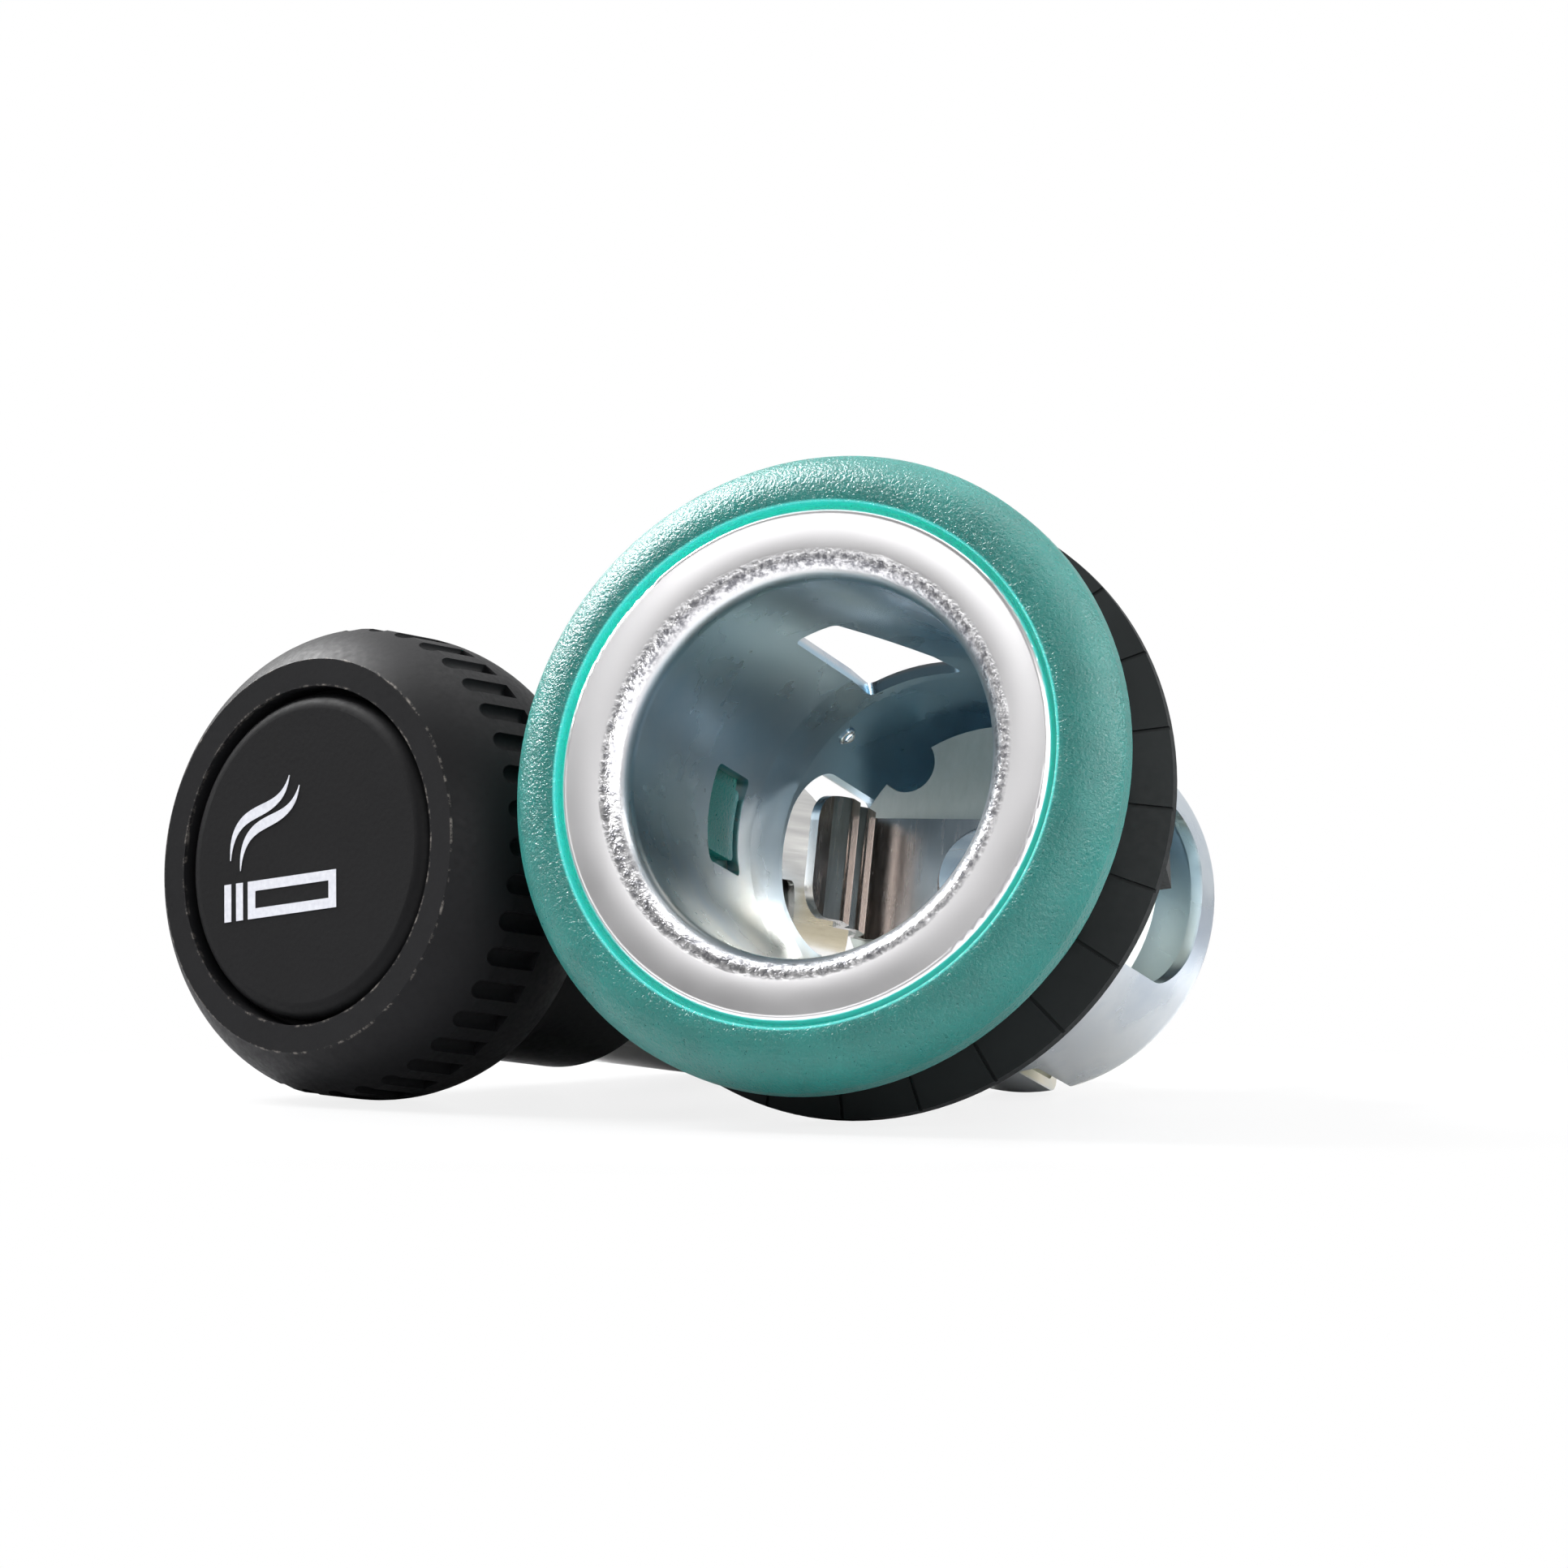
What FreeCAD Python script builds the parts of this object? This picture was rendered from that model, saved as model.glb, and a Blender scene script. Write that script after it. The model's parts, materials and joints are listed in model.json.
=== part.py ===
import FreeCAD, Part
import math
import os

# A car cigarette lighter: the lit dashboard socket and the lighter plug lying beside it.
# All sizes are millimetres. Each half is built on its own axis, z = 0 at its front and the
# front looking along +z, and is then laid on the floor as it comes to rest.

# Drawn steel barrel of the socket
BORE_RADIUS = 10.5
SHEET = 0.7
BARREL_LENGTH = 38.0
FRONT_BORE_LENGTH = 18.0
DRAW_TAPER = 0.3
DRAW_TAPER_LENGTH = 3.6
REAR_ROUNDING = 1.6
FLANGE_WIDTH = 3.0
FLANGE_THICKNESS = 0.9
FLANGE_ROUNDING = 0.35
MOUTH_ROUNDING = 1.5
CENTRE_HOLE_RADIUS = 4.0

# Cut-outs in the barrel wall, by angle from the right as seen from the front
SIDE_WINDOW_WIDTH = 10.5
SIDE_WINDOW_LENGTH = 12.5
SIDE_WINDOW_REAR = 3.5
SIDE_WINDOW_CORNER = 3.0
TOP_WINDOW_ANGLE = 105.0
TOP_WINDOW_LEFT = 2.7
TOP_WINDOW_FRONT_WIDTH = 2.5
TOP_WINDOW_REAR_WIDTH = 5.8
TOP_WINDOW_START = 9.4
TOP_WINDOW_LENGTH = 11.4
TOP_WINDOW_CORNER = 0.5
LUG_SLOT_ANGLE = 180.0
LUG_SLOT_WIDTH = 5.6
LUG_SLOT_START = 11.8
LUG_SLOT_LENGTH = 4.4
LUG_SLOT_CORNER = 0.4
PIERCED_HOLE_RADIUS = 0.35
PIERCED_HOLE_ANGLE = 136.0
PIERCED_HOLE_OFFSET = 1.0
TONGUE_HALF_ANGLE = 13.0
TONGUE_SLIT_WIDTH = 1.2
TONGUE_SLIT_LENGTH = 7.0

# Translucent light ring and its sleeve over the barrel
LENS_RADIUS = 17.7
LENS_SHOULDER = 2.1
LENS_EDGE = 1.0
LENS_LENGTH = 8.9
LENS_REAR_RADIUS = 15.2
LENS_SLEEVE_WALL = 1.05
LENS_SLEEVE_LENGTH = 16.9
LENS_GAP = 0.35
LENS_DOME_SHIFT = 0.5
LENS_DOME_DROP = 0.5
LIGHT_GATE_WIDTH = 9.0
LUG_CLEARANCE = 0.35
LUG_SIDE_CLEARANCE = 0.8
LUG_RECESS = 0.2

# Black mounting collar behind the light ring
COLLAR_INSET = 0.2
COLLAR_CONE_DROP = 1.4
COLLAR_SEAT_RADIUS = 14.4
COLLAR_THICKNESS = 1.3
COLLAR_HUB_WALL = 1.2
COLLAR_HUB_LENGTH = 6.5
COLLAR_GROOVES = 24
COLLAR_GROOVE_WIDTH = 0.2
COLLAR_GROOVE_DEPTH = 0.2
LEG_ANGLES = (8.0, 188.0, 278.0)
LEG_WIDTH = 6.3
LEG_ROOT_INSET = 1.3
LEG_TIP_RADIUS = 12.5
LEG_END = 24.0

# Contact stack at the rear of the socket
INSULATOR_HEIGHT = 8.0
INSULATOR_PLATE = 2.0
INSULATOR_NECK_RADIUS = 6.0
INSULATOR_NOTCH_RADIUS = 1.7
INSULATOR_NOTCHES = 4
INSULATOR_NOTCH_ANGLE = 41.0
CLIP_SHEET = 0.5
CLIP_WIDTH = 7.2
CLIP_HALF_SPAN = 8.2
CLIP_LENGTH = 7.7
CLIP_TIP_LENGTH = 1.6
CLIP_TIP_FLARE = 0.3
CLIP_TIP_ROUNDING = 1.8
CLIP_RIBS = 2
CLIP_RIB_PITCH = 2.4
CLIP_RIB_HEIGHT = 0.8
RIVET_RADIUS = 2.0
RIVET_HEAD_RADIUS = 3.3
RIVET_HEAD_THICKNESS = 0.9
WASHER_THICKNESS = 0.5
OUTER_INSULATOR_RADIUS = 7.0
OUTER_INSULATOR_THICKNESS = 1.5
TERMINAL_SHEET = 0.8
BLADE_WIDTH = 6.3
BLADE_LENGTH = 9.0
GROUND_BLADE_OFFSET = 8.6

# Knob of the plug
KNOB_RADIUS = 13.35
KNOB_FACE_RADIUS = 11.2
KNOB_SHOULDER = 3.4
KNOB_RIM_REACH = 0.62
KNOB_RIM_DROP = 0.44
KNOB_BACK_LENGTH = 3.9
KNOB_WALL = 1.8
KNOB_WEB = 1.6
KNOB_BOSS_RADIUS = 3.6
KNOB_BOSS_LENGTH = 4.0
GRIP_GROOVES = 40
GRIP_GROOVE_RADIUS = 0.58
GRIP_GROOVE_START = 2.7
CAP_RADIUS = 9.3
CAP_GROOVE = 0.35
CAP_POCKET_DEPTH = 1.9
CAP_THICKNESS = 1.85
CAP_ROUNDING = 0.9

# Guard sleeve of the plug, the plated shell behind it and the return spring inside it
SLEEVE_CLEARANCE = 0.3
SLEEVE_WALL = 0.9
SLEEVE_LENGTH = 12.7
SHELL_REACH = 14.5
SHELL_SHEET = 0.4
SHELL_SEAT_WALL = 0.6
NECK_CLEARANCE = 0.4
NECK_LENGTH = 4.0
NECK_ROUNDING = 1.0
NECK_OVERLAP = 0.7
SLEEVE_WEB_OFFSET = 6.5
SLEEVE_WEB = 1.0
SLEEVE_END_ROUNDING = 0.3
SHELL_END_ROUNDING = 0.15
SHELL_SLOTS = 2
SHELL_SLOT_WIDTH = 4.0
SHELL_SLOT_LENGTH = 4.2
SHELL_SLOT_START = 5.0
SHELL_SLOT_CORNER = 0.3
BUSH_FLANGE_RADIUS = 4.4
BUSH_FLANGE = 0.8
BUSH_RADIUS = 3.0
BUSH_LENGTH = 2.6
SPRING_RADIUS = 6.0
SPRING_WIRE = 0.9
SPRING_TURNS = 5
SPRING_STEPS_PER_TURN = 16
PRESS_TRAVEL = 6.0
PRESS_MARGIN = 0.3

# Plunger parts inside the sleeve
STEM_RADIUS = 1.6
STEM_CLEARANCE = 0.15
SPIGOT_RADIUS = 1.0
FIT_CLEARANCE = 0.05
STOP_WASHER_RADIUS = 2.8
STOP_WASHER_THICKNESS = 0.8
STOP_GAP = 0.1
CUP_RECESS = 3.8
CUP_RADIUS = 8.2
CUP_SHEET = 0.5
CUP_DEPTH = 6.2
CUP_HOLE_RADIUS = 2.6
CUP_WASHER_RADIUS = 4.6
CUP_WASHER_THICKNESS = 1.2
COIL_PLATE_RADIUS = 7.4
COIL_PLATE_THICKNESS = 1.0
COIL_INNER_RADIUS = 1.9
COIL_PITCH = 0.95
COIL_HALF_TURNS = 10
COIL_RIBBON = 0.3
COIL_HEIGHT = 3.0

# Places of the two halves on the floor
PLUG_SPACE = 1.1
PLUG_BACK = 10.35
PLUG_REFERENCE_DEPTH = 4.2
PLUG_YAW = 17.3

# Sizes that follow from the ones above
BARREL_RADIUS = BORE_RADIUS + SHEET
REAR_BORE_RADIUS = BORE_RADIUS - DRAW_TAPER
REAR_BARREL_RADIUS = REAR_BORE_RADIUS + SHEET
FLANGE_RADIUS = BARREL_RADIUS + FLANGE_WIDTH
BARREL_FLOOR = BARREL_LENGTH - SHEET
SIDE_WINDOW_START = BARREL_LENGTH - SIDE_WINDOW_REAR - SIDE_WINDOW_LENGTH
PIERCED_HOLE_DEPTH = SIDE_WINDOW_START + PIERCED_HOLE_OFFSET
TONGUE_SLIT_START = BARREL_LENGTH - TONGUE_SLIT_LENGTH
LENS_BORE = BARREL_RADIUS + LENS_GAP / 2
LENS_SLEEVE_RADIUS = LENS_BORE + LENS_SLEEVE_WALL
COLLAR_BORE = LENS_SLEEVE_RADIUS + LENS_GAP / 2
COLLAR_RADIUS = LENS_RADIUS - COLLAR_INSET
COLLAR_EDGE_DEPTH = LENS_LENGTH + COLLAR_CONE_DROP
LEG_ROOT_RADIUS = COLLAR_RADIUS - LEG_ROOT_INSET
CLIP_FLOOR = BARREL_FLOOR - INSULATOR_HEIGHT
CLIP_TIP_DEPTH = CLIP_FLOOR - CLIP_LENGTH
CAP_POCKET_RADIUS = CAP_RADIUS + CAP_GROOVE
KNOB_HOLLOW_RADIUS = KNOB_RADIUS - KNOB_WALL
KNOB_HOLLOW_FLOOR = CAP_POCKET_DEPTH + KNOB_WEB
KNOB_LENGTH = KNOB_HOLLOW_FLOOR + PRESS_TRAVEL + PRESS_MARGIN + NECK_OVERLAP
NECK_RADIUS = KNOB_HOLLOW_RADIUS - NECK_CLEARANCE
NECK_FRONT = KNOB_LENGTH - NECK_OVERLAP
SLEEVE_RADIUS = BORE_RADIUS - SLEEVE_CLEARANCE
SLEEVE_REAR = NECK_FRONT + SLEEVE_LENGTH
SHELL_REAR = SLEEVE_REAR + SHELL_REACH
SHELL_SEAT_RADIUS = SLEEVE_RADIUS - SHELL_SEAT_WALL
SHELL_RADIUS = SHELL_SEAT_RADIUS - FIT_CLEARANCE
WEB_FRONT = NECK_FRONT + SLEEVE_WEB_OFFSET
BUSH_REAR = WEB_FRONT + BUSH_LENGTH
STOP_WASHER_FRONT = BUSH_REAR + STOP_GAP
KNOB_BACK_START = KNOB_LENGTH - KNOB_BACK_LENGTH
KNOB_BACK_DROP = KNOB_WALL / 2
KNOB_BACK_ARC = (KNOB_BACK_LENGTH ** 2 + KNOB_BACK_DROP ** 2) / (2 * KNOB_BACK_DROP)
CUP_START = SHELL_REAR - CUP_RECESS - CUP_DEPTH
CUP_FLOOR_REAR = CUP_START + CUP_SHEET
COIL_FRONT = CUP_FLOOR_REAR + COIL_PLATE_THICKNESS
COIL_REAR = COIL_FRONT + COIL_HEIGHT
PLUG_RIGHT = -(COLLAR_RADIUS + KNOB_RADIUS + PLUG_SPACE)

FULL_TURN = 360.0
MITRED_BENDS = 1
OUTWARD = FreeCAD.Vector(1, 0, 0)
AXIS = FreeCAD.Vector(0, 0, 1)
ORIGIN = FreeCAD.Vector(0, 0, 0)


def point(radius, depth):
    """A point of a turned outline, depth behind the front."""
    return FreeCAD.Vector(radius, 0, -depth)


def outline(start, *steps):
    """A closed face in the xz plane. A step is an end point, or (middle, end) of an arc."""
    edges = []
    here = point(*start)
    for step in list(steps) + [start]:
        if isinstance(step[0], tuple):
            end = point(*step[1])
            edges.append(Part.Arc(here, point(*step[0]), end).toShape())
        else:
            end = point(*step)
            if end.distanceToPoint(here) > 1e-7:
                edges.append(Part.LineSegment(here, end).toShape())
        here = end
    return Part.Face(Part.Wire(edges))


def turned(start, *steps):
    """A solid of revolution about the piece's own axis."""
    return outline(start, *steps).revolve(ORIGIN, AXIS, FULL_TURN)


def corner(centre_radius, centre_depth, rounding, from_angle, to_angle):
    """(middle, end) of a rounded corner, angles in degrees with 90 towards the front."""
    def on_arc(angle):
        turn = math.radians(angle)
        return (centre_radius + rounding * math.cos(turn), centre_depth - rounding * math.sin(turn))
    return (on_arc((from_angle + to_angle) / 2), on_arc(to_angle))


def disc(radius, front, thickness):
    """A round plate whose front face is at the depth called front."""
    return Part.makeCylinder(radius, thickness, FreeCAD.Vector(0, 0, -front - thickness))


def ring(outer, inner, front, thickness):
    """A flat washer."""
    return disc(outer, front, thickness).cut(disc(inner, front, thickness))


def around(shape, angle):
    """The shape turned about the axis."""
    copy = shape.copy()
    copy.rotate(ORIGIN, AXIS, angle)
    return copy


def wall_cutter(angle, width, start, length, rounding, inner, outer):
    """A round-cornered block that cuts a window through one side of a tube."""
    block = Part.makeBox(outer - inner, width, length, FreeCAD.Vector(inner, -width / 2, -start - length))
    radial_edges = [e for e in block.Edges if abs(e.tangentAt(e.FirstParameter).x) > 0.99]
    return around(block.makeFillet(rounding, radial_edges), angle)


def strip(path, thickness, width):
    """Sheet metal: an open path in the xz plane thickened to its left and widened along y."""
    wire = Part.makePolygon([point(*p) for p in path])
    face = wire.makeOffset2D(thickness, 0, True, True)
    return face.extrude(FreeCAD.Vector(0, width, 0)).translated(FreeCAD.Vector(0, -width / 2, 0))


def socket_barrel():
    """Drawn cup with a rolled mouth, a flange, a redrawn rear end and its wall cut-outs."""
    mouth_centre = BORE_RADIUS + MOUTH_ROUNDING
    taper_end = FRONT_BORE_LENGTH + DRAW_TAPER_LENGTH
    inner_rounding = REAR_ROUNDING - SHEET
    rear_centre = BARREL_LENGTH - REAR_ROUNDING
    cup = turned(
        (mouth_centre, 0.0),
        (FLANGE_RADIUS - FLANGE_ROUNDING, 0.0),
        corner(FLANGE_RADIUS - FLANGE_ROUNDING, FLANGE_ROUNDING, FLANGE_ROUNDING, 90, 0),
        (FLANGE_RADIUS, FLANGE_THICKNESS),
        (BARREL_RADIUS, FLANGE_THICKNESS),
        (BARREL_RADIUS, FRONT_BORE_LENGTH),
        (REAR_BARREL_RADIUS, taper_end),
        (REAR_BARREL_RADIUS, rear_centre),
        corner(REAR_BARREL_RADIUS - REAR_ROUNDING, rear_centre, REAR_ROUNDING, 0, -90),
        (CENTRE_HOLE_RADIUS, BARREL_LENGTH),
        (CENTRE_HOLE_RADIUS, BARREL_FLOOR),
        (REAR_BORE_RADIUS - inner_rounding, BARREL_FLOOR),
        corner(REAR_BORE_RADIUS - inner_rounding, rear_centre, inner_rounding, -90, 0),
        (REAR_BORE_RADIUS, taper_end),
        (BORE_RADIUS, FRONT_BORE_LENGTH),
        (BORE_RADIUS, MOUTH_ROUNDING),
        corner(mouth_centre, MOUTH_ROUNDING, MOUTH_ROUNDING, 180, 90),
    )
    inner = CENTRE_HOLE_RADIUS
    outer = BARREL_RADIUS + SHEET
    for angle in (0.0, 180.0):
        cup = cup.cut(wall_cutter(angle, SIDE_WINDOW_WIDTH, SIDE_WINDOW_START, SIDE_WINDOW_LENGTH,
                                  SIDE_WINDOW_CORNER, inner, outer))
    for side in (-1, 1):
        slit_angle = side * TONGUE_HALF_ANGLE - FULL_TURN / 4
        slit_length = BARREL_LENGTH - TONGUE_SLIT_START + SHEET
        cup = cup.cut(wall_cutter(slit_angle, TONGUE_SLIT_WIDTH, TONGUE_SLIT_START, slit_length,
                                  TONGUE_SLIT_WIDTH / 3, REAR_BORE_RADIUS - REAR_ROUNDING, outer))
    cup = cup.cut(wall_cutter(LUG_SLOT_ANGLE, LUG_SLOT_WIDTH, LUG_SLOT_START, LUG_SLOT_LENGTH,
                              LUG_SLOT_CORNER, inner, outer))
    hole = Part.makeCylinder(PIERCED_HOLE_RADIUS, outer, point(0, PIERCED_HOLE_DEPTH), OUTWARD)
    return cup.cut([top_window(inner, outer), around(hole, PIERCED_HOLE_ANGLE)])


def top_window(inner, outer):
    """Cutter of the light window: one straight side, the other side running out to the rear."""
    rear = TOP_WINDOW_START + TOP_WINDOW_LENGTH
    corners = [(TOP_WINDOW_LEFT, TOP_WINDOW_START),
               (TOP_WINDOW_LEFT - TOP_WINDOW_FRONT_WIDTH, TOP_WINDOW_START),
               (TOP_WINDOW_LEFT - TOP_WINDOW_REAR_WIDTH, rear),
               (TOP_WINDOW_LEFT, rear)]
    points = [FreeCAD.Vector(inner, y, -depth) for y, depth in corners + corners[:1]]
    block = Part.Face(Part.makePolygon(points)).extrude(OUTWARD * (outer - inner))
    radial_edges = [e for e in block.Edges if abs(e.tangentAt(e.FirstParameter).x) > 0.99]
    return around(block.makeFillet(TOP_WINDOW_CORNER, radial_edges), TOP_WINDOW_ANGLE)


def light_gate(front, rear, outer):
    """Cutter that opens a sleeve over the light window."""
    return wall_cutter(TOP_WINDOW_ANGLE, LIGHT_GATE_WIDTH, front, rear - front, TOP_WINDOW_CORNER,
                       CENTRE_HOLE_RADIUS, outer)


def lens_ring():
    """Moulded light ring: domed front round the flange, tapered rear, sleeve with a latch lug."""
    recess_radius = FLANGE_RADIUS + LENS_GAP
    dome_middle = ((recess_radius + LENS_RADIUS) / 2 + LENS_DOME_SHIFT, LENS_DOME_DROP)
    body = turned(
        (recess_radius, FLANGE_THICKNESS),
        (recess_radius, 0.0),
        (dome_middle, (LENS_RADIUS, LENS_SHOULDER)),
        (LENS_RADIUS, LENS_SHOULDER + LENS_EDGE),
        (LENS_REAR_RADIUS, LENS_LENGTH),
        (LENS_SLEEVE_RADIUS, LENS_LENGTH),
        (LENS_SLEEVE_RADIUS, LENS_SLEEVE_LENGTH),
        (LENS_BORE, LENS_SLEEVE_LENGTH),
        (LENS_BORE, FLANGE_THICKNESS),
    )
    lug_inner = BORE_RADIUS + LUG_RECESS
    lug_width = LUG_SLOT_WIDTH - 2 * LUG_SIDE_CLEARANCE
    lug_length = LUG_SLOT_LENGTH - 2 * LUG_CLEARANCE
    lug = wall_cutter(LUG_SLOT_ANGLE, lug_width, LUG_SLOT_START + LUG_CLEARANCE, lug_length, LUG_SLOT_CORNER,
                      CENTRE_HOLE_RADIUS, LENS_SLEEVE_RADIUS)
    lug_ring = ring(LENS_BORE + LENS_SLEEVE_WALL / 2, lug_inner, LUG_SLOT_START, LUG_SLOT_LENGTH)
    gate = light_gate(LENS_LENGTH + LENS_GAP, LENS_SLEEVE_LENGTH + LENS_GAP + TOP_WINDOW_CORNER, LENS_RADIUS)
    return body.cut(gate).fuse(lug.common(lug_ring)).removeSplitter()


def mounting_collar():
    """Dished flange with fine radial grooves, a hub and tapering legs along the barrel."""
    hub_radius = COLLAR_BORE + COLLAR_HUB_WALL
    hub_rear = LENS_LENGTH + COLLAR_HUB_LENGTH
    back = COLLAR_EDGE_DEPTH + COLLAR_THICKNESS / 2
    collar = turned(
        (COLLAR_BORE, LENS_LENGTH),
        (COLLAR_SEAT_RADIUS, LENS_LENGTH),
        (COLLAR_RADIUS, COLLAR_EDGE_DEPTH),
        (COLLAR_RADIUS, back),
        (hub_radius, back),
        (hub_radius, hub_rear),
        (COLLAR_BORE, hub_rear),
    )
    collar = collar.cut(light_gate(back, hub_rear + TOP_WINDOW_CORNER, COLLAR_RADIUS))
    leg_inner = BARREL_RADIUS + LENS_GAP
    sleeve_end = LENS_SLEEVE_LENGTH + LENS_GAP
    leg_face = outline(
        (COLLAR_BORE + COLLAR_HUB_WALL / 2, back - COLLAR_THICKNESS / 4),
        (LEG_ROOT_RADIUS, back - COLLAR_THICKNESS / 4),
        (LEG_TIP_RADIUS, LEG_END),
        (leg_inner, LEG_END),
        (leg_inner, sleeve_end),
        (COLLAR_BORE + COLLAR_HUB_WALL / 2, sleeve_end),
    )
    leg = leg_face.extrude(FreeCAD.Vector(0, LEG_WIDTH, 0)).translated(FreeCAD.Vector(0, -LEG_WIDTH / 2, 0))
    leg = leg.cut(disc(COLLAR_BORE, LENS_LENGTH, sleeve_end - LENS_LENGTH))
    for angle in LEG_ANGLES:
        collar = collar.fuse(around(leg, angle))
    slope = math.degrees(math.atan2(COLLAR_CONE_DROP, COLLAR_RADIUS - COLLAR_SEAT_RADIUS))
    run = math.hypot(COLLAR_CONE_DROP, COLLAR_RADIUS - COLLAR_SEAT_RADIUS)
    groove = Part.makeBox(run * 2, COLLAR_GROOVE_WIDTH, COLLAR_GROOVE_DEPTH * 2,
                          FreeCAD.Vector(0, -COLLAR_GROOVE_WIDTH / 2, -COLLAR_GROOVE_DEPTH))
    groove.rotate(ORIGIN, FreeCAD.Vector(0, 1, 0), slope)
    groove.translate(point(COLLAR_SEAT_RADIUS, LENS_LENGTH))
    grooves = [around(groove, i * FULL_TURN / COLLAR_GROOVES) for i in range(COLLAR_GROOVES)]
    return collar.cut(Part.makeCompound(grooves)).removeSplitter()


def inner_insulator():
    """Fibre pillar on the barrel floor whose front plate is scalloped at its edge."""
    radius = REAR_BORE_RADIUS - REAR_ROUNDING + SHEET - FIT_CLEARANCE
    plate = disc(radius, CLIP_FLOOR, INSULATOR_PLATE)
    notch = disc(INSULATOR_NOTCH_RADIUS, CLIP_FLOOR, INSULATOR_PLATE)
    notch.translate(FreeCAD.Vector(radius, 0, 0))
    for index in range(INSULATOR_NOTCHES):
        angle = INSULATOR_NOTCH_ANGLE + index * FULL_TURN / INSULATOR_NOTCHES
        plate = plate.cut(around(notch, angle))
    pillar = plate.fuse(disc(INSULATOR_NECK_RADIUS, CLIP_FLOOR, INSULATOR_HEIGHT)).removeSplitter()
    return pillar.cut(disc(RIVET_RADIUS + FIT_CLEARANCE, 0, BARREL_LENGTH))


def bimetal_clip():
    """One folded strip: a base on the insulator and two ribbed fingers with flared, rounded tips."""
    first_rib = CLIP_TIP_DEPTH + CLIP_TIP_LENGTH + CLIP_RIB_PITCH / 2
    path = [(0.0, CLIP_FLOOR),
            (CLIP_HALF_SPAN - CLIP_SHEET, CLIP_FLOOR),
            (CLIP_HALF_SPAN, CLIP_FLOOR - CLIP_SHEET * 2)]
    for index in reversed(range(CLIP_RIBS)):
        middle = first_rib + index * CLIP_RIB_PITCH
        path.append((CLIP_HALF_SPAN, middle + CLIP_RIB_PITCH / 2))
        path.append((CLIP_HALF_SPAN - CLIP_RIB_HEIGHT, middle + CLIP_RIB_PITCH / 6))
        path.append((CLIP_HALF_SPAN - CLIP_RIB_HEIGHT, middle - CLIP_RIB_PITCH / 6))
    path.append((CLIP_HALF_SPAN, first_rib - CLIP_RIB_PITCH / 2))
    path.append((CLIP_HALF_SPAN + CLIP_TIP_FLARE, CLIP_TIP_DEPTH))
    finger = strip(path, CLIP_SHEET, CLIP_WIDTH)
    rounded_end = wall_cutter(0.0, CLIP_WIDTH, CLIP_TIP_DEPTH, BARREL_LENGTH - CLIP_TIP_DEPTH,
                              CLIP_TIP_ROUNDING, -SHEET, BARREL_RADIUS)
    finger = finger.common(rounded_end)
    clip = finger.fuse(around(finger, FULL_TURN / 2)).removeSplitter()
    return clip.cut(disc(RIVET_RADIUS + FIT_CLEARANCE, 0, BARREL_LENGTH))


def outer_insulator():
    """Fibre bush behind the barrel, with a spigot in the barrel's centre hole."""
    front = BARREL_LENGTH + TERMINAL_SHEET
    spigot_radius = CENTRE_HOLE_RADIUS - FIT_CLEARANCE
    bush = disc(OUTER_INSULATOR_RADIUS, front, OUTER_INSULATOR_THICKNESS)
    bush = bush.fuse(disc(spigot_radius, BARREL_FLOOR, front - BARREL_FLOOR))
    return bush.cut(disc(RIVET_RADIUS + FIT_CLEARANCE, 0, BARREL_LENGTH * 2))


def blade(offset, front, angle, hole_radius):
    """Terminal plate round the rivet with a flat push-on blade bent straight back."""
    plate = disc(BLADE_WIDTH / 2 + SHEET, front, TERMINAL_SHEET)
    arm = Part.makeBox(offset, BLADE_WIDTH, TERMINAL_SHEET,
                       FreeCAD.Vector(0, -BLADE_WIDTH / 2, -front - TERMINAL_SHEET))
    tab = Part.makeBox(TERMINAL_SHEET, BLADE_WIDTH, BLADE_LENGTH + TERMINAL_SHEET,
                       FreeCAD.Vector(offset - TERMINAL_SHEET, -BLADE_WIDTH / 2,
                                      -front - TERMINAL_SHEET - BLADE_LENGTH))
    ends = [e for e in tab.Edges if abs(e.tangentAt(e.FirstParameter).x) > 0.99
            and e.CenterOfMass.z < -front - BLADE_LENGTH]
    tab = tab.makeChamfer(TERMINAL_SHEET, ends)
    plate = plate.fuse([arm, tab]).removeSplitter()
    return around(plate.cut(disc(hole_radius, front, TERMINAL_SHEET)), angle)


def ground_terminal():
    """Earth blade clamped against the barrel's rear face."""
    return blade(GROUND_BLADE_OFFSET, BARREL_LENGTH, 180.0, CENTRE_HOLE_RADIUS - FIT_CLEARANCE / 2)


def positive_terminal():
    """Supply blade clamped on the outer insulator."""
    front = BARREL_LENGTH + TERMINAL_SHEET + OUTER_INSULATOR_THICKNESS
    return blade(BLADE_WIDTH / 2 + SHEET + TERMINAL_SHEET, front, 90.0, RIVET_RADIUS + FIT_CLEARANCE)


def rivet_washer():
    """Washer under the rivet's rear head."""
    front = BARREL_LENGTH + TERMINAL_SHEET * 2 + OUTER_INSULATOR_THICKNESS
    return ring(BLADE_WIDTH / 2, RIVET_RADIUS + FIT_CLEARANCE, front, WASHER_THICKNESS)


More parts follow.
